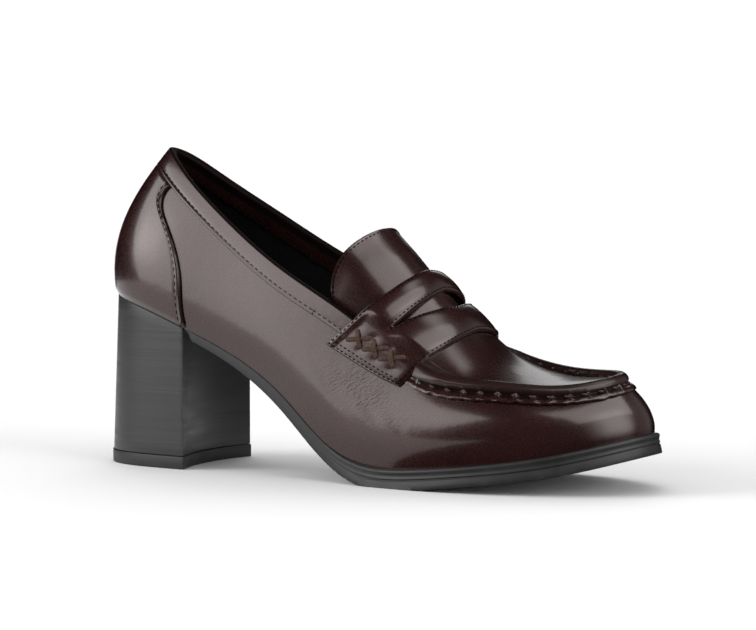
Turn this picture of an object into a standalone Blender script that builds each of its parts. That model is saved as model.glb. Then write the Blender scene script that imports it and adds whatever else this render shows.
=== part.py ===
"""Right shoe of a pair of block-heel penny loafers, standing empty on its sole.

The toe points along +X, the outer (lateral) side faces -Y and the floor is z = 0.
Shapes are worked out in millimetres and turned into metres when a mesh is made.
The last is held by two closed curves, the feather line above the sole and the top edge
(collar behind the throat, sewn apron seam in front of it). A wall is drawn between them.
"""
import bmesh
import bpy
import numpy as np

# Driving sizes in millimetres
MM = 0.001
SOLE_LENGTH = 231.0
BALL_WIDTH = 76.0
HEEL_HEIGHT = 67.8
COLLAR_BACK_HEIGHT = 122.3
INSTEP_SLOPE = np.radians(44.0)
WALL = 1.8
GAP = 0.35
SEAT_GAP = 0.45
FLARE_HEIGHT = 0.4

# Feather line and top edge, from the heel back to the toe tip
FEATHER_BACK = 3.0
FEATHER_FRONT = SOLE_LENGTH - 3.0
TOP_BACK = 24.0
TOP_FRONT = 216.0

# Heel
BREAST = 44.4
BREAST_MARGIN = 0.8
BREAST_HOLLOW = 4.5
HEEL_FLARE = 3.0
TOP_PIECE = 5.0
TOP_PIECE_LIP = 0.4
SEAT_LAYER = 1.2

# Sole edge and insole
RAND_START = 108.0
RAND_FULL = 135.0
WAIST_STEP = 4.0
INSOLE = 1.5
TOP_PIECE_EDGE = 0.5

# Layers laid on the upper
COUNTER = 1.0
COUNTER_FOOT = 0.01
BINDING = 0.9
BINDING_OUTSIDE = 7.0
BINDING_INSIDE = 8.0
BINDING_SLANT_START = 0.7
TONGUE = 2.0
TONGUE_REACH = np.radians(80.0)
TONGUE_LATERAL_REACH = np.radians(14.0)
TONGUE_LATERAL_NARROWING = 1.0
TONGUE_SWELL = np.radians(7.0)
TONGUE_ROUNDING = 9.0
TONGUE_TUCK = 0.2
TONGUE_RADIUS = 26.5
TONGUE_HALF_WIDTH = 24.8
TONGUE_CENTRE = -0.4
TONGUE_TOP = 120.5
TONGUE_JOINT = 2.0
STRAP = 1.4
STRAP_LIFT = 0.4
LACE_RADIUS = 0.8
LACE_FIRST = 140.6
LACE_LAST = 155.1
LACE_CROSSES = 3
LACE_FROM_END = 8.9
LACE_HALF_HEIGHT = 3.2

# Places along the shoe: station 0 is the heel back, 1 the toe tip
APRON_STATION = 0.5625
APRON_SLANT = 14.5
SLANT_END = 0.75
STRAP_BACK_AT_COLLAR = 137.8
STRAP_FRONT_AT_SEAM = 157.4
STRAP_CLEARANCE = 0.8
SEAM_CLEARANCE = 2.9
SEAM_GROWTH = 14.0
SEAM_LOW = 0.45
SEAM_DIP = 0.2

# Mesh density
COLUMNS = 64
WALL_ROWS_COUNT = 8
APRON_COLUMNS = 8
SOLE_COLUMNS = 43
HEEL_COLUMNS = 33
BREAST_COLUMNS = 11
HEEL_RINGS = 7
INSOLE_COLUMNS = 56
COUNTER_GRID = (25, 14)
BINDING_COLUMNS = 41
BINDING_BEND = 5
SEAM_COLUMNS = 49
TONGUE_GRID = (12, 15)
STRAP_COLUMNS = 28
BAND_ROWS = 4
STEP = 1e-4

SOLE_ROWS = (
    # share of sole length, height of the seat, sole thickness
    (0.00, HEEL_HEIGHT, 3.0),
    (0.10, 62.4, 3.0),
    (0.20, 54.3, 3.3),
    (0.30, 44.7, 4.3),
    (0.40, 30.1, 6.1),
    (0.48, 14.6, 7.1),
    (0.56, 7.5, 7.7),
    (0.64, 7.4, 7.8),
    (0.74, 9.8, 7.5),
    (0.86, 13.9, 7.8),
    (1.00, 22.0, 7.4),
)
FEATHER_ROWS = (
    # station, lateral and medial half width as shares of the ball width
    (0.00, 0.000, 0.000),
    (0.08, 0.165, 0.165),
    (0.16, 0.275, 0.275),
    (0.25, 0.325, 0.325),
    (0.35, 0.350, 0.320),
    (0.45, 0.395, 0.315),
    (0.55, 0.450, 0.370),
    (0.65, 0.475, 0.440),
    (0.75, 0.410, 0.425),
    (0.84, 0.290, 0.325),
    (0.92, 0.150, 0.180),
    (1.00, 0.000, 0.000),
)
TOP_ROWS = (
    # station, lateral and medial half width, lateral and medial height
    (0.0, 0.0, 0.0, COLLAR_BACK_HEIGHT, COLLAR_BACK_HEIGHT),
    (0.1, 8.2, 8.2, 120.2, 119.0),
    (0.2, 16.5, 16.5, 110.0, 108.4),
    (0.3, 22.0, 22.3, 94.0, 94.6),
    (0.4, 26.4, 26.4, 76.7, 79.0),
    (0.5, 29.2, 28.2, 60.6, 65.0),
    (0.6, 30.0, 27.4, 42.5, 49.2),
    (0.7, 27.5, 24.5, 38.0, 40.6),
    (0.8, 20.5, 18.5, 36.4, 39.2),
    (0.9, 10.8, 10.2, 38.2, 40.2),
    (1.0, 0.0, 0.0, 40.5, 40.5),
)
WALL_ROWS = (
    # station, flare above the feather line, roundness under the top edge, drop of that roundness
    (0.0, 3.3, 15.5, 0.35),
    (0.1, 3.8, 13.5, 0.35),
    (0.2, 4.0, 8.0, 0.38),
    (0.3, 3.0, 4.0, 0.40),
    (0.4, 3.0, 3.0, 0.40),
    (0.5, 4.0, 3.0, 0.40),
    (0.6, 4.0, 5.0, 0.33),
    (0.7, 3.0, 7.0, 0.25),
    (0.8, 1.5, 7.0, 0.20),
    (0.9, 0.8, 6.5, 0.22),
    (1.0, 0.3, 6.0, 0.25),
)
CREST_ROWS = (
    # length from the heel back, height of the instep's crest, roundness across
    (108.0, 108.0, 0.95),
    (120.0, 95.0, 0.95),
    (132.5, 81.5, 0.92),
    (148.0, 65.2, 0.85),
    (160.0, 53.4, 0.70),
    (166.0, 48.3, 0.60),
    (171.0, 45.2, 0.50),
    (177.0, 42.6, 0.40),
    (184.0, 40.6, 0.40),
    (192.0, 39.4, 0.40),
    (205.0, 39.8, 0.40),
    (216.0, 40.6, 0.40),
)
SOLE_EDGE_ROWS = (
    # outward at the forepart, outward at the waist, depth as a share of the thickness
    (-1.0, -1.0, 0.00),
    (1.2, 0.2, 0.00),
    (2.0, 0.4, 0.10),
    (2.1, 0.4, 0.28),
    (1.5, 0.4, 0.36),
    (2.1, 0.4, 0.44),
    (2.8, 0.2, 1.00),
)
COUNTER_ROWS = (
    # height share of the wall, station of the counter's front edge
    (0.00, 0.291),
    (0.25, 0.284),
    (0.50, 0.261),
    (0.63, 0.234),
    (0.76, 0.189),
    (0.84, 0.160),
    (0.91, 0.150),
    (0.98, 0.153),
    (1.05, 0.166),
)
SEAM_ROWS = (
    # side, distance from the top edge, height above that surface
    ("wall", 6.4, 0.35),
    ("wall", 6.4, 1.4),
    ("wall", 3.6, 1.6),
    ("wall", 3.0, 1.1),
    ("wall", 2.4, 2.0),
    ("wall", 1.2, 2.9),
    ("apron", 0.4, 3.0),
    ("apron", 1.5, 2.4),
    ("apron", 2.2, 1.3),
    ("apron", 2.2, 0.35),
    ("apron", 0.3, 0.45),
    ("wall", 0.8, 0.45),
    ("wall", 3.4, 0.40),
)
STRAP_ROWS = (
    # girth share from the crest (0) to a tab's end (1), upper edge, slot opening, lower edge
    (0.00, 136.0, 5.2, 157.9),
    (0.25, 136.9, 3.2, 158.1),
    (0.50, 137.6, 0.9, 158.0),
    (0.60, 137.6, 0.0, 157.7),
    (0.72, STRAP_BACK_AT_COLLAR, 0.0, STRAP_FRONT_AT_SEAM),
    (0.86, 137.8, 0.0, 158.8),
    (1.00, 137.7, 0.0, 160.3),
)
SLOT_MIDDLE = 146.2
SLOT_END = 0.60
TAB_DROP_BACK = 14.5
TAB_DROP_FRONT = 8.7
THROAT_TURNS = np.linspace(0.20, 0.36, 161)
GIRTH_SMOOTHING = 6
GIRTH_PLACES = np.arange(130.0, 164.1, 2.0)
GIRTH_SHARES = np.linspace(-1, 1, 121)
PATCH_SHARE = 0.03


def smooth_curve(knots, values, closed=False):
    """A function through the rows with no kinks; a closed one repeats after 1."""
    k = np.asarray(knots, float)
    v = np.asarray(values, float)
    n = len(k)
    bend = np.eye(n)
    load = np.zeros(n)
    if closed:
        h = np.diff(np.append(k, k[0] + 1.0))
        rise = (np.roll(v, -1) - v) / h
        inner = range(n)
    else:
        h = np.diff(k)
        rise = np.diff(v) / h
        inner = range(1, n - 1)
    for i in inner:
        bend[i, i] = 2 * (h[i - 1] + h[i])
        bend[i, i - 1] = h[i - 1]
        bend[i, (i + 1) % n] = h[i]
        load[i] = 6 * (rise[i] - rise[i - 1])
    m = np.linalg.solve(bend, load)

    def at(x):
        x = np.asarray(x, float)
        x = (x - k[0]) % 1.0 + k[0] if closed else np.clip(x, k[0], k[-1])
        i = np.clip(np.searchsorted(k, x, "right") - 1, 0, len(h) - 1)
        j = (i + 1) % n
        s = x - k[i]
        slope = rise[i] - h[i] * (2 * m[i] + m[j]) / 6
        return v[i] + s * slope + s**2 * m[i] / 2 + s**3 * (m[j] - m[i]) / (6 * h[i])

    return at


def loop_curve(stations, lateral, medial):
    """Rows of both sides as one closed curve: heel back, lateral side, toe tip, medial side."""
    turn = np.concatenate((stations / 2, 1 - stations[-2:0:-1] / 2))
    return smooth_curve(turn, np.concatenate((lateral, medial[-2:0:-1])), closed=True)


def smooth_step(x):
    x = np.clip(x, 0.0, 1.0)
    return x * x * (3 - 2 * x)


SOLE = np.array(SOLE_ROWS)
FEATHER = np.array(FEATHER_ROWS)
TOP = np.array(TOP_ROWS)
WALL_SHAPE = np.array(WALL_ROWS)
CREST = np.array(CREST_ROWS)
seat_height = smooth_curve(SOLE[:, 0] * SOLE_LENGTH, SOLE[:, 1])
waist_thickness = smooth_curve(SOLE[:, 0] * SOLE_LENGTH, SOLE[:, 2])
feather_y = loop_curve(FEATHER[:, 0], -FEATHER[:, 1] * BALL_WIDTH, FEATHER[:, 2] * BALL_WIDTH)
top_y = loop_curve(TOP[:, 0], -TOP[:, 1], TOP[:, 2])
top_z = loop_curve(TOP[:, 0], TOP[:, 3], TOP[:, 4])
flare, roundness, round_drop = (
    loop_curve(WALL_SHAPE[:, 0], WALL_SHAPE[:, i], WALL_SHAPE[:, i]) for i in (1, 2, 3)
)
crest = smooth_curve(CREST[:, 0], CREST[:, 1])
arch_roundness = smooth_curve(CREST[:, 0], CREST[:, 2])


def along(u, back, front):
    return back + (front - back) * (1 - np.cos(2 * np.pi * u)) / 2


def turn_at(x):
    """The turn u on the lateral side where the feather line reaches length x."""
    share = (x - FEATHER_BACK) / (FEATHER_FRONT - FEATHER_BACK)
    return np.arccos(1 - 2 * share) / (2 * np.pi)


def feather_line(u):
    x = along(u, FEATHER_BACK, FEATHER_FRONT)
    return np.stack([x, feather_y(u), seat_height(x)], -1)


def top_edge(u):
    return np.stack([along(u, TOP_BACK, TOP_FRONT), top_y(u), top_z(u)], -1)


def outward(u, curve):
    """Level direction away from the shoe, square to a closed curve."""
    d = curve(u + STEP) - curve(u - STEP)
    n = np.stack([d[..., 1], -d[..., 0], np.zeros_like(d[..., 0])], -1)
    return n / np.linalg.norm(n, axis=-1, keepdims=True)


def wall(u, v):
    """Outer face of the upper: u round the shoe, v from the feather line to the top edge."""
    u, v = np.broadcast_arrays(np.asarray(u, float), np.asarray(v, float))
    v = v[..., None]
    foot = feather_line(u) + (0, 0, SEAT_GAP)
    top = top_edge(u)
    rise = np.zeros_like(foot)
    rise[..., 2] = (top - foot)[..., 2]
    low = foot + outward(u, feather_line) * flare(u)[..., None] + FLARE_HEIGHT * rise
    high = top + outward(u, top_edge) * roundness(u)[..., None] - round_drop(u)[..., None] * rise
    return (1 - v)**3 * foot + 3 * v * (1 - v)**2 * low + 3 * v**2 * (1 - v) * high + v**3 * top


def wall_normal(u, v):
    du = wall(u + STEP, v) - wall(u - STEP, v)
    dv = wall(u, np.minimum(v + STEP, 1)) - wall(u, np.maximum(v - STEP, 0))
    n = np.cross(du, dv)
    return n / np.linalg.norm(n, axis=-1, keepdims=True)


def below_top(u, distance):
    """The v of the place that lies a given distance below the top edge, along the wall."""
    levels = np.linspace(1.0, 0.3, 71)
    run = wall(u, levels)
    lengths = np.append(0.0, np.cumsum(np.linalg.norm(np.diff(run, axis=0), axis=1)))
    return np.interp(distance, lengths, levels)


EDGE_TURNS = np.linspace(0.20, 0.50, 301)
LATERAL_EDGE = top_edge(EDGE_TURNS)
MEDIAL_EDGE = top_edge(1 - EDGE_TURNS)


def instep(x, y):
    """Height of the apron, and of the bed of the strap, between the two top edges."""
    yl, zl = (np.interp(x, LATERAL_EDGE[:, 0], LATERAL_EDGE[:, i]) for i in (1, 2))
    ym, zm = (np.interp(x, MEDIAL_EDGE[:, 0], MEDIAL_EDGE[:, i]) for i in (1, 2))
    w = np.clip((y - yl) / np.maximum(ym - yl, 1e-6), 0, 1)
    k = arch_roundness(x)
    arch = (np.sqrt(1 - k * (2 * w - 1)**2) - np.sqrt(1 - k)) / (1 - np.sqrt(1 - k))
    return zl + (zm - zl) * w + (crest(x) - (zl + zm) / 2) * arch


def apron(station, w):
    """Plug of the vamp: w runs from the lateral to the medial top edge."""
    a = top_edge(np.asarray(station / 2))
    b = top_edge(np.asarray(1 - station / 2))
    w = np.asarray(w, float)
    slant = APRON_SLANT * smooth_step((SLANT_END - station) / (SLANT_END - APRON_STATION))
    x = a[0] + (b[0] - a[0]) * w + slant * 4 * w * (1 - w)
    y = a[1] + (b[1] - a[1]) * w
    return np.stack([x, y, instep(x, y)], -1)


def strap_plane(p):
    """Where the plane square to the instep through point p cuts the crest line."""
    return p[..., 0] + np.sin(INSTEP_SLOPE) * np.cos(INSTEP_SLOPE) * (crest(p[..., 0]) - p[..., 2])


def girth_line(place, drop):
    """Run round the instep in one plane, from drop below one top edge to drop below the other."""
    sides = []
    for side in (1, -1):
        turns = THROAT_TURNS if side == 1 else 1 - THROAT_TURNS
        edge = np.interp(place, strap_plane(top_edge(turns)), turns)
        levels = np.linspace(below_top(edge, drop), 1.0, 25)
        run = []
        for level in levels:
            u = np.interp(place, strap_plane(wall(turns, level)), turns)
            run.append(wall(u, level))
        sides.append(np.array(run))
    lateral, medial = sides
    y = np.linspace(lateral[-1, 1], medial[-1, 1], 81)[1:-1]
    x = np.full_like(y, place)
    for _ in range(20):
        x = place - np.sin(INSTEP_SLOPE) * np.cos(INSTEP_SLOPE) * (crest(x) - instep(x, y))
    middle = np.stack([x, y, instep(x, y)], -1)
    return np.concatenate((lateral, middle, medial[::-1]))


def girth_points(place):
    """Evenly shared points on one girth line, from -1 at the lateral end over 0 at the crest to 1."""
    run = girth_line(place, tab_drop(place))
    for _ in range(GIRTH_SMOOTHING):
        run[1:-1] = (run[:-2] + 2 * run[1:-1] + run[2:]) / 4
    lengths = np.append(0.0, np.cumsum(np.linalg.norm(np.diff(run, axis=0), axis=1)))
    middle = np.interp(0.0, run[:, 1], lengths)
    side = np.where(GIRTH_SHARES < 0, middle, lengths[-1] - middle)
    want = middle + side * GIRTH_SHARES
    return np.stack([np.interp(want, lengths, run[:, i]) for i in range(3)], -1)


def tab_drop(place):
    """How far a tab reaches below the top edge."""
    share = (place - STRAP_ROWS[0][1]) / (STRAP_ROWS[0][3] - STRAP_ROWS[0][1])
    return TAB_DROP_BACK + (TAB_DROP_FRONT - TAB_DROP_BACK) * share


def strap_bed(lines, place, share):
    """Point of the strap's bed between the girth lines."""
    last_row, last_column = len(GIRTH_PLACES) - 1, len(GIRTH_SHARES) - 1
    row = np.clip((place - GIRTH_PLACES[0]) / (GIRTH_PLACES[1] - GIRTH_PLACES[0]), 0, last_row - STEP)
    column = np.clip((share + 1) / 2 * last_column, 0, last_column - STEP)
    i, j = np.floor(row).astype(int), np.floor(column).astype(int)
    a, b = (row - i)[..., None], (column - j)[..., None]
    near = lines[i, j] * (1 - b) + lines[i, j + 1] * b
    far = lines[i + 1, j] * (1 - b) + lines[i + 1, j + 1] * b
    return near * (1 - a) + far * a


def turn_at_plane(place, side):
    """The turn where the top edge of one side (1 lateral, -1 medial) crosses a plane of the strap."""
    turns = side * THROAT_TURNS
    return np.interp(place, strap_plane(top_edge(turns)), turns)


def grid_normals(grid):
    n = np.cross(np.gradient(grid, axis=0), np.gradient(grid, axis=1))
    return n / np.linalg.norm(n, axis=-1, keepdims=True)


def grid_faces(rows, columns, closed_rows=False, closed_columns=False, start=0):
    """Quads between neighbouring points of a grid whose points are numbered row by row."""
    faces = []
    for a in range(rows if closed_rows else rows - 1):
        for c in range(columns if closed_columns else columns - 1):
            b, d = (a + 1) % rows, (c + 1) % columns
            corners = ((a, c), (b, c), (b, d), (a, d))
            faces.append([start + i * columns + j for i, j in corners])
    return faces


def ring_cap(first, count):
    """Strips across a ring from its lateral to its medial half."""
    faces = []
    for i in range(count // 2):
        quad = [i, i + 1, (count - i - 1) % count, (count - i) % count]
        faces.append([first + k for k in dict.fromkeys(quad)])
    return faces


def make_material(name, colour, roughness_value):
    material = bpy.data.materials.new(name)
    material.use_nodes = True
    shader = material.node_tree.nodes["Principled BSDF"]
    shader.inputs["Base Color"].default_value = (*colour, 1.0)
    shader.inputs["Roughness"].default_value = roughness_value
    shader.inputs["Metallic"].default_value = 0.0
    return material


def add_piece(name, points, faces, collection, parent, material, thickness=0.0):
    """One sub-part from its points and faces; a thickness makes a shell on the inner side."""
    mesh = bpy.data.meshes.new(name)
    mesh.from_pydata((np.asarray(points).reshape(-1, 3) * MM).tolist(), [], faces)
    if not thickness:
        work = bmesh.new()
        work.from_mesh(mesh)
        bmesh.ops.recalc_face_normals(work, faces=work.faces)
        work.to_mesh(mesh)
        work.free()
    mesh.materials.append(material)
    mesh.shade_smooth()
    mesh.set_sharp_from_angle(angle=np.radians(40.0))
    piece = bpy.data.objects.new(name, mesh)
    piece.parent = parent
    collection.objects.link(piece)
    if thickness:
        shell = piece.modifiers.new("wall", "SOLIDIFY")
        shell.thickness = thickness * MM
        shell.offset = -1.0
        shell.use_even_offset = True
        shell.use_quality_normals = True
    return piece


def upper_mesh():
    """Quarters, vamp and apron as one sheet with a free throat edge."""
    turns = np.arange(COLUMNS) / COLUMNS
    levels = np.linspace(0, 1, WALL_ROWS_COUNT + 1)
    sides = wall(turns[:, None], levels[None, :])
    faces = grid_faces(COLUMNS, len(levels), closed_rows=True)
    points = list(sides.reshape(-1, 3))

    def edge_point(i):
        return (i % COLUMNS) * len(levels) + WALL_ROWS_COUNT

    shares = np.linspace(0, 1, APRON_COLUMNS + 1)
    toe = COLUMNS // 2
    rows = []
    for i in range(round(APRON_STATION * toe), toe):
        inner = apron(2 * i / COLUMNS, shares)[1:-1]
        first = len(points)
        points.extend(inner)
        rows.append([edge_point(i), *range(first, first + len(inner)), edge_point(-i)])
    for near, far in zip(rows, rows[1:]):
        for j in range(APRON_COLUMNS):
            faces.append([near[j], far[j], far[j + 1], near[j + 1]])
    for j in range(APRON_COLUMNS):
        faces.append([rows[-1][j], edge_point(toe), rows[-1][j + 1]])
    return points, faces


def sole_thickness(x):
    ahead = smooth_step((x - BREAST - BREAST_MARGIN) / WAIST_STEP)
    return SEAT_LAYER + (waist_thickness(x) - SEAT_LAYER) * ahead


def outsole_mesh():
    """Unit sole: rings of the edge profile, flat across above and below."""
    step = turn_at(BREAST + BREAST_MARGIN + WAIST_STEP * np.array((0.0, 0.5, 1.0)))
    half = np.union1d(np.linspace(0, 0.5, SOLE_COLUMNS), step)
    turns = np.concatenate((half, 1 - half[-2:0:-1]))
    count = len(turns)
    line = feather_line(turns)
    away = outward(turns, feather_line)
    rand = smooth_step((line[:, 0] - RAND_START) / (RAND_FULL - RAND_START))
    depth = sole_thickness(line[:, 0])
    seat = smooth_step((line[:, 0] - BREAST - BREAST_MARGIN) / WAIST_STEP)
    rings = []
    for forepart, waist, share in SOLE_EDGE_ROWS:
        out = rand * forepart + (1 - rand) * waist * np.where(forepart > 0, seat, 1.0)
        ring = line + away * out[:, None]
        ring[:, 2] = np.maximum(line[:, 2] - share * depth, 0.0)
        rings.append(ring)
    points = np.concatenate(rings)
    faces = grid_faces(len(rings), count, closed_columns=True)
    faces += ring_cap(0, count)
    faces += ring_cap(count * (len(rings) - 1), count)
    return points, faces


def heel_ring(share):
    """D-shaped outline of the heel: share 0 under the seat, 1 at the floor."""
    turns = turn_at(BREAST) * np.linspace(-1, 1, HEEL_COLUMNS)
    top = feather_line(turns)
    corner = top[0, 0]
    side = top.copy()
    side[:, 0] -= share * HEEL_FLARE * (corner - top[:, 0]) / corner
    k = np.linspace(0, 1, BREAST_COLUMNS)[1:-1, None]
    breast = side[-1] + (side[0] - side[-1]) * k - np.array((BREAST_HOLLOW, 0, 0)) * 4 * k * (1 - k)
    return np.concatenate((side, breast))


def fan_solid(rings, first_centre, last_centre):
    """Closed solid from stacked rings, each end closed by a fan round its centre."""
    count = len(rings[0])
    points = np.concatenate(rings)
    faces = grid_faces(len(rings), count, closed_columns=True)
    for middle, first in ((first_centre, 0), (last_centre, count * (len(rings) - 1))):
        centre = len(points)
        points = np.concatenate((points, [middle]))
        faces += [[first + i, first + (i + 1) % count, centre] for i in range(count)]
    return points, faces


def heel_block_mesh():
    rings = []
    for share in np.linspace(0, 1, HEEL_RINGS):
        ring = heel_ring(share)
        roof = seat_height(ring[:, 0]) - SEAT_LAYER - GAP
        ring[:, 2] = roof + (TOP_PIECE + GAP - roof) * share
        rings.append(ring)
    seat_middle = rings[0].mean(axis=0)
    seat_middle[2] = seat_height(seat_middle[0]) - SEAT_LAYER - GAP
    return fan_solid(rings, seat_middle, rings[-1].mean(axis=0))


def top_piece_mesh():
    rings = []
    middle = heel_ring(1.0)[:, :2].mean(axis=0)
    for height, lip in ((0.0, 0.0), (TOP_PIECE_EDGE, TOP_PIECE_LIP), (TOP_PIECE, TOP_PIECE_LIP)):
        ring = heel_ring(1.0)
        away = ring[:, :2] - middle
        ring[:, :2] += away / np.linalg.norm(away, axis=1, keepdims=True) * lip
        ring[:, 2] = height
        rings.append(ring)
    return fan_solid(rings, rings[0].mean(axis=0), rings[-1].mean(axis=0))


def insole_mesh():
    count = INSOLE_COLUMNS
    turns = np.arange(count) / count
    line = feather_line(turns) - outward(turns, feather_line) * (WALL + SEAT_GAP)
    rings = [line + (0, 0, GAP), line + (0, 0, GAP + INSOLE)]
    faces = grid_faces(2, count, closed_columns=True) + ring_cap(0, count) + ring_cap(count, count)
    return np.concatenate(rings), faces


def counter_mesh():
    """Counter laid on the quarters, from the feather line to the binding."""
    rows = np.array(COUNTER_ROWS)
    front = smooth_curve(rows[:, 0], rows[:, 1] / 2)
    across = np.linspace(-1, 1, COUNTER_GRID[0])
    up = np.linspace(0, 1, COUNTER_GRID[1])
    grid = np.zeros((*COUNTER_GRID, 3))
    for j, k in enumerate(up):
        for i, a in enumerate(across):
            u = a * front(k)
            v = COUNTER_FOOT + (below_top(u, BINDING_OUTSIDE + GAP) - COUNTER_FOOT) * k
            grid[i, j] = wall(u, v) + wall_normal(u, v) * (GAP + COUNTER)
    return grid, grid_faces(*grid.shape[:2])


def binding_mesh():
    """Binding folded over the collar rim, its ends cut along the strap's upper edge."""
    end = STRAP_BACK_AT_COLLAR - STRAP_CLEARANCE
    first, last = turn_at_plane(end, -1), turn_at_plane(end, 1)
    shares = np.linspace(-1, 1, BINDING_COLUMNS)
    bend = np.linspace(0, np.pi, BINDING_BEND)
    reach = WALL / 2 + GAP + BINDING
    outside = (BINDING_OUTSIDE, BINDING_OUTSIDE / 2)
    inside = (BINDING_INSIDE / 2, BINDING_INSIDE)
    grid = []
    for share in shares:
        column = []
        u = last * share if share > 0 else -first * share
        slope = strap_plane(wall(u + STEP, 1.0)) - strap_plane(wall(u - STEP, 1.0))
        ending = smooth_step((abs(share) - BINDING_SLANT_START) / (1 - BINDING_SLANT_START))
        pull_back = STEP / slope * ending
        for depth in (*outside, 0.0, *inside):
            turn = u - pull_back * depth
            v = below_top(turn, depth)
            p, n = wall(turn, v), wall_normal(turn, v)
            if depth in outside:
                column.append(p + n * (GAP + BINDING))
            elif depth in inside:
                column.append(p - n * (WALL + GAP + BINDING))
            else:
                rise = p - wall(turn, 1 - STEP)
                rise /= np.linalg.norm(rise)
                column += [p - n * WALL / 2 + reach * (n * np.cos(k) + rise * np.sin(k)) for k in bend]
        grid.append(column)
    grid = np.array(grid)
    return grid, grid_faces(*grid.shape[:2])


def apron_seam_mesh():
    """Raised sewn roll and flange round the apron, low where it comes from under the strap."""
    start = STRAP_FRONT_AT_SEAM + SEAM_CLEARANCE
    turns = np.linspace(turn_at_plane(start, 1), 1 + turn_at_plane(start, -1), SEAM_COLUMNS)
    line = top_edge(turns)
    run = np.append(0.0, np.cumsum(np.linalg.norm(np.diff(line, axis=0), axis=1)))
    grid = []
    for u, a, done in zip(turns, line, run):
        growth = SEAM_LOW + (1 - SEAM_LOW) * smooth_step(min(done, run[-1] - done) / SEAM_GROWTH)
        inward = -outward(np.asarray(u), top_edge)
        column = []
        for side, distance, height in SEAM_ROWS:
            lift = GAP + (height - GAP) * growth
            if side == "wall":
                v = below_top(u, distance)
                column.append(wall(u, v) + wall_normal(u, v) * lift)
            else:
                p = a + inward * distance
                column.append((p[0], p[1], max(instep(p[0], p[1]), a[2] - SEAM_DIP) + lift))
        grid.append(column)
    grid = np.array(grid)
    rows, columns = grid.shape[:2]
    faces = grid_faces(rows, columns, closed_columns=True)
    faces.append(list(range(columns)))
    faces.append(list(range((rows - 1) * columns, rows * columns)))
    return grid, faces


def tongue_mesh():
    """Tongue bent over the instep, its top rounded and its sides tucked inside the collar."""
    lower = along(APRON_STATION / 2, TOP_BACK, TOP_FRONT) + APRON_SLANT - TONGUE_JOINT
    across = np.linspace(-1, 1, TONGUE_GRID[1])
    grid = []
    for s in np.linspace(0, 1, TONGUE_GRID[0]):
        lateral = smooth_step(-across / 0.5)
        reach = TONGUE_REACH + TONGUE_SWELL * np.sin(np.pi * s) + TONGUE_LATERAL_REACH * s * lateral
        angle = reach * across
        half_width = TONGUE_HALF_WIDTH - TONGUE_LATERAL_NARROWING * lateral
        rounding = TONGUE_ROUNDING * np.abs(across)**5 * s
        place = lower + (TONGUE_TOP - lower) * s + rounding
        sag = TONGUE_RADIUS * (1 - np.cos(angle))
        x = place - np.sin(INSTEP_SLOPE) * sag
        z = crest(x) - sag / np.cos(INSTEP_SLOPE) - TONGUE_TUCK
        grid.append(np.stack([x, TONGUE_CENTRE + half_width * np.sin(angle), z], -1))
    grid = np.array(grid)[::-1]
    return grid, grid_faces(*grid.shape[:2])


def strap_mesh(lines):
    """Both bands and their tabs as one sheet with the slot left open."""
    rows = np.array(STRAP_ROWS)
    upper_edge, opening, lower_edge = (smooth_curve(rows[:, 0], rows[:, i]) for i in (1, 2, 3))
    shares = np.linspace(-1, 1, STRAP_COLUMNS + 1)
    size = np.abs(shares)
    slot = np.where(size < SLOT_END, np.maximum(opening(size), 0.0), 0.0)
    bands = []
    edges = ((upper_edge(size), SLOT_MIDDLE - slot / 2), (SLOT_MIDDLE + slot / 2, lower_edge(size)))
    for start, end in edges:
        k = np.linspace(0, 1, BAND_ROWS + 1)[:, None]
        band = strap_bed(lines, start + (end - start) * k, shares + 0 * k)
        bands.append(band + grid_normals(band) * (STRAP_LIFT + STRAP))
    upper_band, lower_band = bands
    columns = len(shares)
    numbers = np.arange(2 * (BAND_ROWS + 1) * columns).reshape(2, BAND_ROWS + 1, columns)
    for j in np.flatnonzero(slot == 0):
        upper_band[-1, j] = (upper_band[-1, j] + lower_band[0, j]) / 2
        numbers[1, 0, j] = numbers[0, -1, j]
    faces = []
    for band in numbers:
        for i in range(BAND_ROWS):
            for j in range(columns - 1):
                faces.append([int(band[k]) for k in ((i, j), (i + 1, j), (i + 1, j + 1), (i, j + 1))])
    return compact(np.concatenate((upper_band, lower_band)), faces)


def strap_face(lines, place, from_end, side):
    """Point on a tab's bed and its normal, from_end away from the tab's end."""
    run = strap_bed(lines, np.full_like(GIRTH_SHARES, place), GIRTH_SHARES)
    lengths = np.append(0.0, np.cumsum(np.linalg.norm(np.diff(run, axis=0), axis=1)))
    share = np.interp(from_end if side > 0 else lengths[-1] - from_end, lengths, GIRTH_SHARES)
    around = np.array((-1.0, 0.0, 1.0))
    places, shares = np.meshgrid(place + around, share + around * PATCH_SHARE, indexing="ij")
    patch = strap_bed(lines, places, shares)
    return patch[1, 1], grid_normals(patch)[1, 1]


def lace_tube(name, path, collection):
    """Thong along a path, as a mesh with closed ends."""
    curve = bpy.data.curves.new(name, "CURVE")
    curve.dimensions = "3D"
    curve.bevel_depth = LACE_RADIUS * MM
    curve.bevel_resolution = 1
    curve.use_fill_caps = True
    spline = curve.splines.new("POLY")
    spline.points.add(len(path) - 1)
    for point, place in zip(spline.points, path):
        point.co = (*(place * MM), 1.0)
    holder = bpy.data.objects.new(name, curve)
    collection.objects.link(holder)
    graph = bpy.context.evaluated_depsgraph_get()
    mesh = bpy.data.meshes.new_from_object(holder.evaluated_get(graph))
    bpy.data.objects.remove(holder, do_unlink=True)
    work = bmesh.new()
    work.from_mesh(mesh)
    bmesh.ops.remove_doubles(work, verts=work.verts, dist=1e-6)
    bmesh.ops.recalc_face_normals(work, faces=work.faces)
    work.to_mesh(mesh)
    work.free()
    piece = bpy.data.objects.new(name, mesh)
    collection.objects.link(piece)
    return piece


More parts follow.
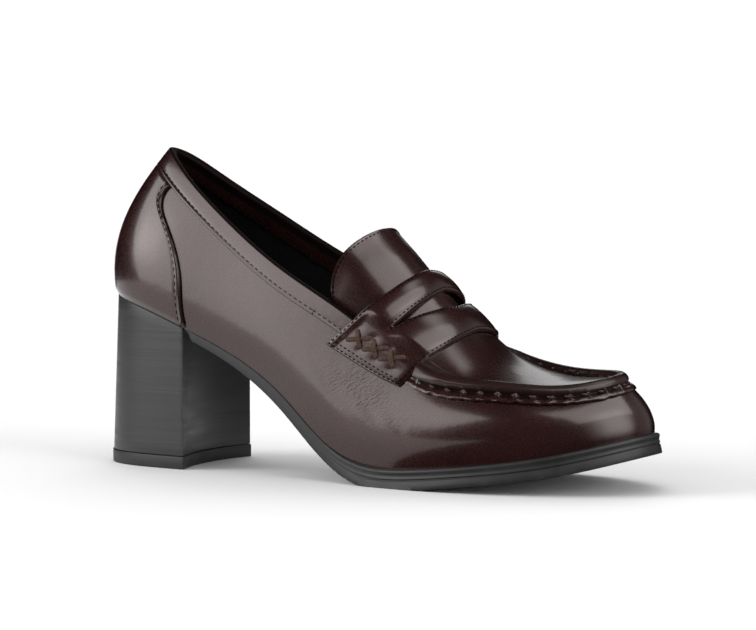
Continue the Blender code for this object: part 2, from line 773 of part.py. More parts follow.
def add_lacing(name, side, lines, collection, cutters, parent, material):
    """Row of crosses on one tab: two zigzags of thong joined where they cross."""
    places = np.linspace(LACE_FIRST, LACE_LAST, 2 * LACE_CROSSES + 1)
    tubes = []
    for flip, target in ((1, collection), (-1, cutters)):
        path = []
        for i, place in enumerate(places):
            sway = flip * side * (1, 0, -1, 0)[i % 4] * LACE_HALF_HEIGHT
            point, normal = strap_face(lines, place, LACE_FROM_END + sway, side)
            path.append(point + normal * (STRAP_LIFT + STRAP + GAP + LACE_RADIUS))
        tubes.append(lace_tube(name if flip == 1 else name + "_crossing", path, target))
    piece, crossing = tubes
    piece.data.materials.append(material)
    join = piece.modifiers.new("crossing", "BOOLEAN")
    join.operation = "UNION"
    join.object = crossing
    for item in tubes:
        item.parent = parent
    crossing.hide_render = True
    crossing.display_type = "WIRE"
    return piece


def compact(points, faces):
    """Leaves out points that no face uses."""
    used = sorted({i for face in faces for i in face})
    place = {old: new for new, old in enumerate(used)}
    flat = np.asarray(points).reshape(-1, 3)
    return flat[used], [[place[i] for i in face] for face in faces]


def stand_on_middle(root, pieces):
    """Puts the middle of the shoe's box on the origin, with the floor at z = 0."""
    bpy.context.view_layer.update()
    graph = bpy.context.evaluated_depsgraph_get()
    corners = []
    for piece in pieces:
        body = piece.evaluated_get(graph)
        corners.extend(piece.matrix_world @ v.co for v in body.data.vertices)
    box = np.array([tuple(c) for c in corners])
    low, high = box.min(axis=0), box.max(axis=0)
    root.location = (-(low[0] + high[0]) / 2, -(low[1] + high[1]) / 2, -low[2])


def main():
    for item in list(bpy.data.objects):
        bpy.data.objects.remove(item, do_unlink=True)
    shoe = bpy.data.collections.new("penny_loafer")
    bpy.context.scene.collection.children.link(shoe)
    cutters = bpy.data.collections.new("joining_shapes")
    bpy.context.scene.collection.children.link(cutters)
    root = bpy.data.objects.new("shoe_middle", None)
    shoe.objects.link(root)

    leather = make_material("burgundy_leather", (0.045, 0.016, 0.018), 0.25)
    rubber = make_material("black_rubber", (0.018, 0.018, 0.019), 0.5)
    stack = make_material("stacked_heel", (0.022, 0.022, 0.023), 0.4)
    thong = make_material("brown_thong", (0.080, 0.050, 0.036), 0.6)
    sock = make_material("black_sock", (0.010, 0.010, 0.010), 0.8)

    lines = np.array([girth_points(place) for place in GIRTH_PLACES])
    pieces = [
        add_piece("outsole", *outsole_mesh(), shoe, root, rubber),
        add_piece("heel_block", *heel_block_mesh(), shoe, root, stack),
        add_piece("heel_top_piece", *top_piece_mesh(), shoe, root, rubber),
        add_piece("insole", *insole_mesh(), shoe, root, sock),
        add_piece("upper", *upper_mesh(), shoe, root, leather, WALL),
        add_piece("heel_counter", *counter_mesh(), shoe, root, leather, COUNTER),
        add_piece("collar_binding", *binding_mesh(), shoe, root, leather, BINDING),
        add_piece("apron_seam", *apron_seam_mesh(), shoe, root, leather),
        add_piece("tongue", *tongue_mesh(), shoe, root, leather, TONGUE),
        add_piece("saddle_strap", *strap_mesh(lines), shoe, root, leather, STRAP),
    ]
    for name, side in (("lateral_tab_lacing", 1), ("medial_tab_lacing", -1)):
        pieces.append(add_lacing(name, side, lines, shoe, cutters, root, thong))
    stand_on_middle(root, pieces)


main()
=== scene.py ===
"""Looks of a right block-heel penny loafer in polished dark burgundy leather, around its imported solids.

Places are worked out in millimetres in the maker's frame: heel back near x = 0, toe along +X, outer
(lateral) side at -Y, floor at z = 0. The curves of the last are the ones that the solids come from.
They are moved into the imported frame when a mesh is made.
"""

import bmesh
import bpy
import numpy as np
from mathutils import Matrix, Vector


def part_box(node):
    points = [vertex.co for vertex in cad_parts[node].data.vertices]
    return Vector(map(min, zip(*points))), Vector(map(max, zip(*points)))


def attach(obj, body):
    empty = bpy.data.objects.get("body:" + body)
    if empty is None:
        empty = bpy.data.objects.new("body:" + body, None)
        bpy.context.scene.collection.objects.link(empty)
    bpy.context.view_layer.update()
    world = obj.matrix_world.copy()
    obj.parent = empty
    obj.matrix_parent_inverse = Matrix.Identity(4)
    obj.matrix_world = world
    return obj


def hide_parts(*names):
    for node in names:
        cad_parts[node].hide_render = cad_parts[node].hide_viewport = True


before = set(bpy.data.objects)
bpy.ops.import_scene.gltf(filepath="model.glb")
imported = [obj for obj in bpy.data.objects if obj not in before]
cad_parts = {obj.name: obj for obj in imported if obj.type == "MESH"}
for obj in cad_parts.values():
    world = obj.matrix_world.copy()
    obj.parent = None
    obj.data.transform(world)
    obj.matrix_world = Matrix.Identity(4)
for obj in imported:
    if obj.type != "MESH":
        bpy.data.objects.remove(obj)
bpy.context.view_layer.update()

# Sizes of the last and the sole, in millimetres
MM = 0.001
SOLE_LENGTH = 231.0
BALL_WIDTH = 76.0
HEEL_HEIGHT = 67.8
COLLAR_BACK_HEIGHT = 122.3
INSTEP_SLOPE = np.radians(44.0)
WALL = 1.8
GAP = 0.35
SEAT_GAP = 0.45
FLARE_HEIGHT = 0.4
FEATHER_BACK = 3.0
FEATHER_FRONT = SOLE_LENGTH - 3.0
TOP_BACK = 24.0
TOP_FRONT = 216.0
BREAST = 44.4
BREAST_MARGIN = 0.8
BREAST_HOLLOW = 4.5
HEEL_FLARE = 3.0
TOP_PIECE = 5.0
TOP_PIECE_LIP = 0.4
SEAT_LAYER = 1.2
RAND_START = 108.0
RAND_FULL = 135.0
WAIST_STEP = 4.0
INSOLE = 1.5
EDGE_SOFTNESS = 0.5
HEEL_SOFTNESS = 0.3
LIFT_GAP = 0.05
SKIRT = 0.4
SEAT_INSET = 1.2
HEEL_ROOF_GAP = 0.2

# Sizes of the layers on the upper
COUNTER = 1.0
COUNTER_FOOT = 0.01
COUNTER_TOP = 1.03
BINDING_OUTSIDE = 7.0
BINDING_SLANT_START = 0.7
BINDING_TUCK = 1.5
TONGUE = 2.0
TONGUE_RADIUS = 26.5
TONGUE_HALF_WIDTH = 24.8
TONGUE_CENTRE = -0.4
TONGUE_TOP = 120.5
TONGUE_JOINT = 2.0
TONGUE_REACH = np.radians(80.0)
TONGUE_LATERAL_REACH = np.radians(14.0)
TONGUE_LATERAL_NARROWING = 1.0
TONGUE_SWELL = np.radians(7.0)
TONGUE_ROUNDING = 9.0
TONGUE_TUCK = 0.2
STRAP = 1.25
STRAP_LIFT = 0.15
STRAP_ARCH = 0.5
BAND_PUFF = 1.15
BAND_PUFF_SLANT = 0.3
TAB_PUFF = 0.25
TAB_ROLL = 0.4
HOLE_DIMPLE = 0.18
SLOT_MIDDLE = 146.2
SLOT_END = 0.60
TAB_START = 0.70
TAB_DROP_BACK = 14.5
TAB_DROP_FRONT = 8.7
APRON_STATION = 0.5625
APRON_SLANT = 14.5
SLANT_END = 0.75
STRAP_BACK_AT_COLLAR = 137.8
STRAP_FRONT_AT_SEAM = 158.7
APRON_TIP = 0.985

# Sewing
STITCH_PITCH = 2.0
STITCH_LENGTH = 1.45
STITCH_RADIUS = 0.25
STITCH_INSET = 1.5
STRAP_INSET = 1.1
STITCH_GROOVE = 0.12
STITCH_GROOVE_WIDTH = 0.5
COLLAR_PITCH = 2.65
COLLAR_STITCH = 1.9
COLLAR_THREAD = 0.19
COUNTER_INSET = 2.9
UNDERCUT = 0.4
BINDING_FOLD = 0.6
FOLD_SQUARENESS = 0.7
SEAM_PITCH = 6.3
SEAM_TUCK = 2.5
SEAM_GROWTH = 15.0
SEAM_LOW = 0.15
SEAM_DIP = 0.2
SEAM_TOOTH_WIDTH = 0.8
SEAM_UNEVEN = 0.3
SEAM_CRUMPLE = 0.1
SEAM_THREAD_DEPTH = 3.3
SEAM_WAVE = 0.18
FLANGE_WRINKLES = 0.9
SEAM_TOE_LOSS = 0.35
SEAM_TOE_REACH = 0.05
THONG_WIDTH = 1.75
THONG_THICKNESS = 0.9
THONG_FIRST = 140.6
THONG_LAST = 155.1
THONG_CROSSES = 3
THONG_FROM_END = 8.9
THONG_HALF_HEIGHT = 3.2
THONG_LIFT = 0.45
THONG_CROSSING = 1.0
THONG_CROSSING_REACH = 0.22
THONG_SINK = 1.6
THONG_SINK_REACH = 0.07
SEAM_STITCH = 2.6
SEAM_STITCH_TURN = np.radians(-18.0)
SEAM_THREAD_RADIUS = 0.5
SEAM_THREAD_LIFT = 0.85
TAB_SECOND_ROW = 1.7

# Ink on the cut edges of the leather, and painted shade on the collar's rim fold, on the seam's roll and
# under the binding's edge, as shares
RIM_PAINTED_SHADE = 0.97
ROLL_PAINTED_SHADE = 0.3
INK_AND_SHADE_ROUGHNESS = 0.72
BINDING_DYED_AND_SHADOW_ROWS = 2

# Small reliefs and fades of the pieces
UNDERSIDE = 0.05
CREASE_FADE = 0.1
RIDGE_PLACE = 1.7
RIDGE_HEIGHT = 0.6
SEAM_TURN = 1.5
SEAM_LEAST = 0.05
UNEVEN_WAVES = (2.1, 5.3, 1.0)
CRUMPLE_WAVES = (3.7, 8.9, 2.0)
WRINKLES_ALONG = 7.3
WRINKLES_ACROSS = 1.2
APRON_TEETH_START = 0.44
APRON_TEETH_GROWTH = 0.04
FLANGE_START = 4.0
FLANGE_GROWTH = 2.0
POCKET_DEPTH = 3.1
POCKET_WIDTH = 0.55
POCKET_HEIGHT = 1.2
ROLL_DEPTH = 2.6
COUNTER_ROLL = 0.35
COUNTER_ROLL_PLACE = 0.8
COUNTER_ROLL_WIDTH = 0.5
COUNTER_GROOVE = 1.5
COUNTER_EDGE = 0.5
COUNTER_FOOT_LOSS = 0.8
COUNTER_FOOT_REACH = 2.2
COUNTER_TOP_LOSS = 0.55
COUNTER_TOP_REACH = 0.02
COUNTER_SHADOW_LINE_WIDTH = 0.35
TONGUE_SIDE = 0.5
TONGUE_CORNER = 5
TONGUE_BORDER = 6
TONGUE_ROLL = 0.2
TONGUE_ROLL_PLACE = 0.9
TONGUE_ROLL_WIDTH = 0.8
TONGUE_EDGE = 0.7
TONGUE_FILL = 0.5
TONGUE_FILL_START = 2.0
TONGUE_FILL_GROWTH = 12.0
BAND_FULLNESS = 0.8
TAB_ROLL_PLACE = 1.4
TAB_ROLL_WIDTH = 1.1
DIMPLE_WIDTH = 1.3
VALLEY = 0.5
VALLEY_WIDTH = 2.0
VALLEY_GROWTH = 2.0
STRAP_EDGE = 0.6
SLOT_EDGE_FADE = 1.5
STRAP_ARCH_REACH = 0.45
INSOLE_ROUNDING = 2.0
INSOLE_SIDE = 0.6
CREASE_ANGLE = 50.0
SOLE_CREASE_ANGLE = 35.0
HEEL_CREASE_ANGLE = 40.0
HEEL_EDGE_SEGMENTS = 3

# Mesh density and steps
STEP = 1e-4
UPPER_COLUMNS = 560
UPPER_ROWS = 40
APRON_GRID = (90, 57)
SEAM_SPACING = 0.4
SEAM_ROUND = 46
STRAP_COLUMNS = 200
BAND_ROWS = 18
TONGUE_GRID = (80, 97)
COUNTER_GRID = (181, 61)
BINDING_COLUMNS = 360
BINDING_BEND = 15
SOLE_COLUMNS = 300
HEEL_COLUMNS = 97
BREAST_COLUMNS = 33
HEEL_RINGS = 13
INSOLE_COLUMNS = 160
TAB_LEVELS = 25
INSTEP_STEPS = 81
PLANE_ROUNDS = 20
OUTLINE_STEPS = 2001
SEAM_STEPS = 3001
STRAP_LINE_STEPS = 121
SLOT_LINE_STEPS = 81
TAB_LINE_STEPS = 25
PATCH_STEP = 0.5
THONG_STEPS = 15
THONG_ROUND = 10
WAIST_COLUMNS = 9
THREAD_SEGMENTS = 8
THREAD_RINGS = 6
TINY = 1e-6

SOLE_ROWS = (
    # share of sole length, height of the seat, sole thickness
    (0.00, HEEL_HEIGHT, 3.0),
    (0.10, 62.4, 3.0),
    (0.20, 54.3, 3.3),
    (0.30, 44.7, 4.3),
    (0.40, 30.1, 6.1),
    (0.48, 14.6, 7.1),
    (0.56, 7.5, 7.7),
    (0.64, 7.4, 7.8),
    (0.74, 9.8, 7.5),
    (0.86, 13.9, 7.8),
    (1.00, 22.0, 7.4),
)
FEATHER_ROWS = (
    # station, lateral and medial half width as shares of the ball width
    (0.00, 0.000, 0.000),
    (0.08, 0.165, 0.165),
    (0.16, 0.275, 0.275),
    (0.25, 0.325, 0.325),
    (0.35, 0.350, 0.320),
    (0.45, 0.395, 0.315),
    (0.55, 0.450, 0.370),
    (0.65, 0.475, 0.440),
    (0.75, 0.410, 0.425),
    (0.84, 0.290, 0.325),
    (0.92, 0.150, 0.180),
    (1.00, 0.000, 0.000),
)
TOP_ROWS = (
    # station, lateral and medial half width, lateral and medial height
    (0.0, 0.0, 0.0, COLLAR_BACK_HEIGHT, COLLAR_BACK_HEIGHT),
    (0.1, 8.2, 8.2, 120.2, 119.0),
    (0.2, 16.5, 16.5, 110.0, 108.4),
    (0.3, 22.0, 22.3, 94.0, 94.6),
    (0.4, 26.4, 26.4, 76.7, 79.0),
    (0.5, 29.2, 28.2, 60.6, 65.0),
    (0.6, 30.0, 27.4, 42.5, 49.2),
    (0.7, 27.5, 24.5, 38.0, 40.6),
    (0.8, 20.5, 18.5, 36.4, 39.2),
    (0.9, 10.8, 10.2, 38.2, 40.2),
    (1.0, 0.0, 0.0, 40.5, 40.5),
)
WALL_ROWS = (
    # station, flare above the feather line, roundness under the top edge, drop of that roundness
    (0.0, 3.3, 15.5, 0.35),
    (0.1, 3.8, 13.5, 0.35),
    (0.2, 4.0, 8.0, 0.38),
    (0.3, 3.0, 4.0, 0.40),
    (0.4, 3.0, 3.0, 0.40),
    (0.5, 4.0, 3.0, 0.40),
    (0.6, 4.0, 5.0, 0.33),
    (0.7, 3.0, 7.0, 0.25),
    (0.8, 1.5, 7.0, 0.20),
    (0.9, 0.8, 6.5, 0.22),
    (1.0, 0.3, 6.0, 0.25),
)
CREST_ROWS = (
    # length from the heel back, height of the instep's crest, roundness across
    (108.0, 108.0, 0.95),
    (120.0, 95.0, 0.95),
    (132.5, 81.5, 0.92),
    (148.0, 65.2, 0.85),
    (160.0, 53.4, 0.70),
    (166.0, 48.3, 0.60),
    (171.0, 45.2, 0.50),
    (177.0, 42.6, 0.40),
    (184.0, 40.6, 0.40),
    (192.0, 39.4, 0.40),
    (205.0, 39.8, 0.40),
    (216.0, 40.6, 0.40),
)
SOLE_PROFILE = (
    # outward at the forepart, outward at the waist, depth as a share of the thickness
    (-1.0, -1.0, 0.000),
    (0.8, 0.1, 0.000),
    (1.35, 0.25, 0.020),
    (1.72, 0.35, 0.065),
    (1.86, 0.40, 0.130),
    (1.80, 0.40, 0.200),
    (1.68, 0.40, 0.260),
    (1.68, 0.40, 0.330),
    (1.80, 0.40, 0.380),
    (1.96, 0.40, 0.420),
    (2.00, 0.40, 0.455),
    (1.92, 0.40, 0.485),
    (1.74, 0.40, 0.505),
    (1.80, 0.40, 0.530),
    (2.06, 0.40, 0.555),
    (2.18, 0.38, 0.590),
    (2.52, 0.30, 0.760),
    (2.80, 0.22, 0.965),
    (2.72, 0.15, 0.990),
    (2.45, 0.00, 1.000),
)
COUNTER_ROWS = (
    # height share of the wall, station of the counter's front edge
    (0.00, 0.289),
    (0.25, 0.278),
    (0.50, 0.258),
    (0.63, 0.237),
    (0.76, 0.200),
    (0.84, 0.169),
    (0.91, 0.157),
    (0.98, 0.158),
    (1.05, 0.170),
)
BINDING_PROFILE = (
    # face (1 outside, 0 over the rim, -1 inside), distance from the rim, height above the upper
    (1, 6.50, 0.12),
    (1, 7.00, 0.50),
    (1, 7.00, 0.85),
    (1, 6.80, 1.02),
    (1, 6.35, 1.06),
    (1, 5.75, 0.95),
    (1, 5.30, 0.84),
    (1, 4.85, 0.92),
    (1, 4.20, 0.97),
    (1, 2.60, 1.00),
    (1, 1.20, 0.98),
    (0, 0.00, 0.95),
    (-1, 1.40, 0.95),
    (-1, 3.00, 0.98),
    (-1, 5.20, 0.95),
    (-1, 5.80, 0.92),
    (-1, 6.20, 0.84),
    (-1, 6.60, 0.92),
    (-1, 7.20, 0.94),
    (-1, 7.80, 0.75),
    (-1, 8.00, 0.40),
)
BINDING_STITCHES = ((1, 5.30, 0.90), (-1, 6.20, 0.90))
SEAM_PROFILE = (
    # distance below the top edge (negative on the apron), height, height added at the stitches
    (6.2, 0.05, 0.00),
    (6.6, 0.60, 0.05),
    (6.5, 1.05, 0.10),
    (5.9, 1.30, 0.10),
    (5.0, 1.20, 0.15),
    (4.4, 0.80, 0.45),
    (3.8, 0.32, 0.90),
    (3.2, 0.12, 1.10),
    (2.75, 0.35, 0.90),
    (2.65, 1.05, 0.50),
    (2.5, 1.70, 0.20),
    (2.1, 2.25, 0.10),
    (1.3, 2.85, 0.00),
    (0.4, 3.05, 0.00),
    (-0.5, 2.90, 0.00),
    (-1.2, 2.35, 0.00),
    (-1.6, 1.60, 0.15),
    (-1.9, 0.90, 0.55),
    (-2.4, 0.50, 0.65),
    (-3.0, 0.40, 0.25),
    (-3.4, 0.10, 0.00),
)
SEAM_UNDERSIDE = ((-2.0, 0.06), (0.0, 0.10), (2.5, 0.06), (5.0, 0.06))
STRAP_ROWS = (
    # girth share from the crest (0) to a tab's end (1), upper edge, slot opening, lower edge
    (0.00, 136.0, 5.2, 157.9),
    (0.25, 136.9, 3.2, 158.4),
    (0.50, 137.6, 0.9, 158.8),
    (0.60, 137.6, 0.0, 158.7),
    (0.72, STRAP_BACK_AT_COLLAR, 0.0, STRAP_FRONT_AT_SEAM),
    (0.86, 137.8, 0.0, 159.5),
    (1.00, 137.7, 0.0, 159.7),
)
CREASE_ROWS = (
    # side (-1 lateral, 1 medial), start x and z, end x and z, depth, half width
    (-1, 108.0, 42.0, 121.0, 27.0, 0.05, 2.4),
    (-1, 116.0, 36.0, 131.0, 18.0, 0.07, 2.6),
    (-1, 127.0, 34.0, 141.0, 16.0, 0.07, 2.6),
    (-1, 138.0, 31.0, 148.0, 18.0, 0.05, 2.2),
    (1, 112.0, 44.0, 125.0, 28.0, 0.08, 2.2),
    (1, 121.0, 38.0, 136.0, 19.0, 0.10, 2.4),
    (1, 133.0, 36.0, 147.0, 19.0, 0.08, 2.4),
)
FLEX_ZONES = (
    # side, middle x and z, half length and half height of the finely wrinkled leather, strength
    (-1, 122.0, 38.5, 9.0, 6.0, 0.9),
    (-1, 131.0, 34.0, 10.0, 6.5, 1.0),
    (-1, 138.0, 28.0, 22.0, 9.0, 0.4),
    (1, 128.0, 38.0, 14.0, 8.0, 0.9),
    (1, 138.0, 31.0, 22.0, 10.0, 0.4),
)
GIRTH_PLACES = np.arange(130.0, 164.1, 2.0)
THROAT_TURNS = np.linspace(0.20, 0.36, 161)
GIRTH_SMOOTHING = 6
DEPTH_LEVELS = np.linspace(1.0, 0.3, 141)


def smooth_curve(knots, values, closed=False):
    """A function through the rows with no kinks; a closed one repeats after 1."""
    k = np.asarray(knots, float)
    v = np.asarray(values, float)
    n = len(k)
    tail = (1,) * (v.ndim - 1)
    bend = np.eye(n)
    load = np.zeros_like(v)
    if closed:
        h = np.diff(np.append(k, k[0] + 1.0))
        rise = (np.roll(v, -1, axis=0) - v) / h.reshape(-1, *tail)
        inner = range(n)
    else:
        h = np.diff(k)
        rise = np.diff(v, axis=0) / h.reshape(-1, *tail)
        inner = range(1, n - 1)
    for i in inner:
        bend[i, i] = 2 * (h[i - 1] + h[i])
        bend[i, i - 1] = h[i - 1]
        bend[i, (i + 1) % n] = h[i]
        load[i] = 6 * (rise[i] - rise[i - 1])
    m = np.linalg.solve(bend, load.reshape(n, -1)).reshape(v.shape)

    def at(x):
        x = np.asarray(x, float)
        x = (x - k[0]) % 1.0 + k[0] if closed else np.clip(x, k[0], k[-1])
        i = np.clip(np.searchsorted(k, x, "right") - 1, 0, len(h) - 1)
        j = (i + 1) % n
        s = (x - k[i]).reshape(x.shape + tail)
        width = h[i].reshape(x.shape + tail)
        slope = rise[i] - width * (2 * m[i] + m[j]) / 6
        return v[i] + s * slope + s**2 * m[i] / 2 + s**3 * (m[j] - m[i]) / (6 * width)

    return at


def loop_curve(stations, lateral, medial):
    """Rows of both sides as one closed curve: heel back, lateral side, toe tip, medial side."""
    turn = np.concatenate((stations / 2, 1 - stations[-2:0:-1] / 2))
    return smooth_curve(turn, np.concatenate((lateral, medial[-2:0:-1])), closed=True)


def smooth_step(x):
    x = np.clip(x, 0.0, 1.0)
    return x * x * (3 - 2 * x)


def unit(vectors):
    return vectors / np.linalg.norm(vectors, axis=-1, keepdims=True)


def path_lengths(points):
    return np.append(0.0, np.cumsum(np.linalg.norm(np.diff(points, axis=0), axis=1)))


def grid_lengths(grid, axis):
    """Lengths from the start of every line of a grid that runs along an axis."""
    first = np.take(grid, [0], axis=axis)
    return np.cumsum(np.linalg.norm(np.diff(grid, axis=axis, prepend=first), axis=2), axis=axis)


def bell(distance, width):
    return np.exp(-(distance / width)**2)


SOLE = np.array(SOLE_ROWS)
FEATHER = np.array(FEATHER_ROWS)
TOP = np.array(TOP_ROWS)
WALL_SHAPE = np.array(WALL_ROWS)
CREST = np.array(CREST_ROWS)
STRAP_SHAPE = np.array(STRAP_ROWS)
seat_height = smooth_curve(SOLE[:, 0] * SOLE_LENGTH, SOLE[:, 1])
waist_thickness = smooth_curve(SOLE[:, 0] * SOLE_LENGTH, SOLE[:, 2])
feather_y = loop_curve(FEATHER[:, 0], -FEATHER[:, 1] * BALL_WIDTH, FEATHER[:, 2] * BALL_WIDTH)
top_y = loop_curve(TOP[:, 0], -TOP[:, 1], TOP[:, 2])
top_z = loop_curve(TOP[:, 0], TOP[:, 3], TOP[:, 4])
flare, roundness, round_drop = (
    loop_curve(WALL_SHAPE[:, 0], WALL_SHAPE[:, i], WALL_SHAPE[:, i]) for i in (1, 2, 3)
)
crest = smooth_curve(CREST[:, 0], CREST[:, 1])
arch_roundness = smooth_curve(CREST[:, 0], CREST[:, 2])
strap_upper, slot_opening, strap_lower = (
    smooth_curve(STRAP_SHAPE[:, 0], STRAP_SHAPE[:, i]) for i in (1, 2, 3)
)


# The last: feather line, top edge, wall and instep
def along(u, back, front):
    return back + (front - back) * (1 - np.cos(2 * np.pi * u)) / 2


def turn_at(x):
    """The turn u on the lateral side where the feather line reaches length x."""
    share = (x - FEATHER_BACK) / (FEATHER_FRONT - FEATHER_BACK)
    return np.arccos(1 - 2 * share) / (2 * np.pi)


def feather_line(u):
    x = along(u, FEATHER_BACK, FEATHER_FRONT)
    return np.stack([x, feather_y(u), seat_height(x)], -1)


def top_edge(u):
    return np.stack([along(u, TOP_BACK, TOP_FRONT), top_y(u), top_z(u)], -1)


def outward(u, curve):
    """Level direction away from the shoe, square to a closed curve."""
    d = curve(u + STEP) - curve(u - STEP)
    return unit(np.stack([d[..., 1], -d[..., 0], np.zeros_like(d[..., 0])], -1))


def wall(u, v):
    """Outer face of the upper: u round the shoe, v from the feather line to the top edge."""
    u, v = np.broadcast_arrays(np.asarray(u, float), np.asarray(v, float))
    v = v[..., None]
    foot = feather_line(u) + (0, 0, SEAT_GAP)
    top = top_edge(u)
    rise = np.zeros_like(foot)
    rise[..., 2] = (top - foot)[..., 2]
    low = foot + outward(u, feather_line) * flare(u)[..., None] + FLARE_HEIGHT * rise
    high = top + outward(u, top_edge) * roundness(u)[..., None] - round_drop(u)[..., None] * rise
    return (1 - v)**3 * foot + 3 * v * (1 - v)**2 * low + 3 * v**2 * (1 - v) * high + v**3 * top


def wall_normal(u, v):
    du = wall(u + STEP, v) - wall(u - STEP, v)
    dv = wall(u, np.minimum(v + STEP, 1)) - wall(u, np.maximum(v - STEP, 0))
    return unit(np.cross(du, dv))


def below_top(turns, distances):
    """For each turn, the levels v that lie the given distances below the top edge, along the wall."""
    turns = np.asarray(turns, float)
    run = wall(turns[:, None], DEPTH_LEVELS[None, :])
    lengths = grid_lengths(run, 1)
    wanted = np.broadcast_to(distances, (len(turns), np.shape(distances)[-1]))
    return np.array([np.interp(d, row, DEPTH_LEVELS) for d, row in zip(wanted, lengths)])


EDGE_TURNS = np.linspace(0.20, 0.50, 601)
LATERAL_EDGE = top_edge(EDGE_TURNS)
MEDIAL_EDGE = top_edge(1 - EDGE_TURNS)


def instep(x, y):
    """Height of the apron, and of the bed of the strap, between the two top edges."""
    yl, zl = (np.interp(x, LATERAL_EDGE[:, 0], LATERAL_EDGE[:, i]) for i in (1, 2))
    ym, zm = (np.interp(x, MEDIAL_EDGE[:, 0], MEDIAL_EDGE[:, i]) for i in (1, 2))
    w = np.clip((y - yl) / np.maximum(ym - yl, TINY), 0, 1)
    k = arch_roundness(x)
    arch = (np.sqrt(1 - k * (2 * w - 1)**2) - np.sqrt(1 - k)) / (1 - np.sqrt(1 - k))
    return zl + (zm - zl) * w + (crest(x) - (zl + zm) / 2) * arch


def apron(station, w):
    """Plug of the vamp: w runs from the lateral to the medial top edge."""
    a = top_edge(np.asarray(station / 2))
    b = top_edge(np.asarray(1 - station / 2))
    slant = APRON_SLANT * smooth_step((SLANT_END - station) / (SLANT_END - APRON_STATION))
    x = a[0] + (b[0] - a[0]) * w + slant * 4 * w * (1 - w)
    y = a[1] + (b[1] - a[1]) * w
    return np.stack([x, y, instep(x, y)], -1)


# The bed of the saddle strap: girth lines in planes square to the instep
PLANE_PULL = np.sin(INSTEP_SLOPE) * np.cos(INSTEP_SLOPE)


def strap_plane(p):
    """Where the plane square to the instep through point p cuts the crest line."""
    return p[..., 0] + PLANE_PULL * (crest(p[..., 0]) - p[..., 2])


def turn_at_plane(place, side):
    """The turn where the top edge of one side (1 lateral, -1 medial) crosses a plane of the strap."""
    turns = side * THROAT_TURNS
    return np.interp(place, strap_plane(top_edge(turns)), turns)


def tab_drop(place):
    """How far a tab reaches below the top edge."""
    share = (place - STRAP_ROWS[0][1]) / (STRAP_ROWS[0][3] - STRAP_ROWS[0][1])
    return TAB_DROP_BACK + (TAB_DROP_FRONT - TAB_DROP_BACK) * share


def girth_line(place):
    """Run round the instep in one plane, from the end of one tab to the end of the other."""
    sides = []
    for side in (1, -1):
        turns = THROAT_TURNS if side == 1 else 1 - THROAT_TURNS
        edge = np.interp(place, strap_plane(top_edge(turns)), turns)
        low = below_top([edge], [tab_drop(place)])[0, 0]
        run = []
        for level in np.linspace(low, 1.0, TAB_LEVELS):
            u = np.interp(place, strap_plane(wall(turns, level)), turns)
            run.append(wall(u, level))
        sides.append(np.array(run))
    lateral, medial = sides
    y = np.linspace(lateral[-1, 1], medial[-1, 1], INSTEP_STEPS)[1:-1]
    x = np.full_like(y, place)
    for _ in range(PLANE_ROUNDS):
        x = place - PLANE_PULL * (crest(x) - instep(x, y))
    middle = np.stack([x, y, instep(x, y)], -1)
    return np.concatenate((lateral, middle, medial[::-1]))


def girth_points(place, shares):
    """Points of one girth line, from -1 at the lateral end over 0 at the crest to 1."""
    run = girth_line(place)
    for _ in range(GIRTH_SMOOTHING):
        run[1:-1] = (run[:-2] + 2 * run[1:-1] + run[2:]) / 4
    lengths = path_lengths(run)
    middle = np.interp(0.0, run[:, 1], lengths)
    side = np.where(shares < 0, middle, lengths[-1] - middle)
    return smooth_curve(lengths, run)(middle + side * shares)


STRAP_SHARES = np.linspace(-1, 1, STRAP_COLUMNS + 1)
BED_LINES = np.array([girth_points(place, STRAP_SHARES) for place in GIRTH_PLACES])
BED_LENGTHS = np.array([path_lengths(line) for line in BED_LINES])
LATERAL_GIRTH = smooth_curve(GIRTH_PLACES, BED_LENGTHS[:, STRAP_COLUMNS // 2])
MEDIAL_GIRTH = smooth_curve(GIRTH_PLACES, BED_LENGTHS[:, -1] - BED_LENGTHS[:, STRAP_COLUMNS // 2])
PLACE_TO_LENGTH = 1 / np.cos(INSTEP_SLOPE)


def half_girth(place, side):
    """Length of a girth line from the crest to the end of one tab (side 1 lateral, -1 medial)."""
    return LATERAL_GIRTH(place) if side > 0 else MEDIAL_GIRTH(place)


HALF_GIRTHS = np.where(STRAP_SHARES < 0, half_girth(SLOT_MIDDLE, 1), half_girth(SLOT_MIDDLE, -1))


def strap_bed(places, columns):
    """Points of the strap's bed: a place for each row of each listed column of the bed."""
    grid = [smooth_curve(GIRTH_PLACES, BED_LINES[:, j])(places[:, i]) for i, j in enumerate(columns)]
    return np.stack(grid, axis=1)


# Meshes
def grid_normals(grid):
    return unit(np.cross(np.gradient(grid, axis=0), np.gradient(grid, axis=1)))


def grid_faces(rows, columns, closed_rows=False, closed_columns=False):
    """Quads between neighbouring points of a grid whose points are numbered row by row."""
    faces = []
    for a in range(rows if closed_rows else rows - 1):
        for c in range(columns if closed_columns else columns - 1):
            b, d = (a + 1) % rows, (c + 1) % columns
            corners = ((a, c), (b, c), (b, d), (a, d))
            faces.append([i * columns + j for i, j in corners])
    return faces


def ring_cap(first, count):
    """Strips across a ring from its lateral to its medial half."""
    faces = []
    for i in range(count // 2):
        quad = [i, i + 1, (count - i - 1) % count, (count - i) % count]
        faces.append([first + k for k in dict.fromkeys(quad)])
    return faces


def tube_faces(rows, columns):
    """Faces of a closed tube of rings with a flat face at each end."""
    ends = (range(columns), range((rows - 1) * columns, rows * columns))
    return grid_faces(rows, columns, closed_columns=True) + [list(end) for end in ends]


def capped_faces(rows, columns):
    """Faces of stacked rings, with strips across the first and the last."""
    caps = ring_cap(0, columns) + ring_cap(columns * (rows - 1), columns)
    return grid_faces(rows, columns, closed_columns=True) + caps


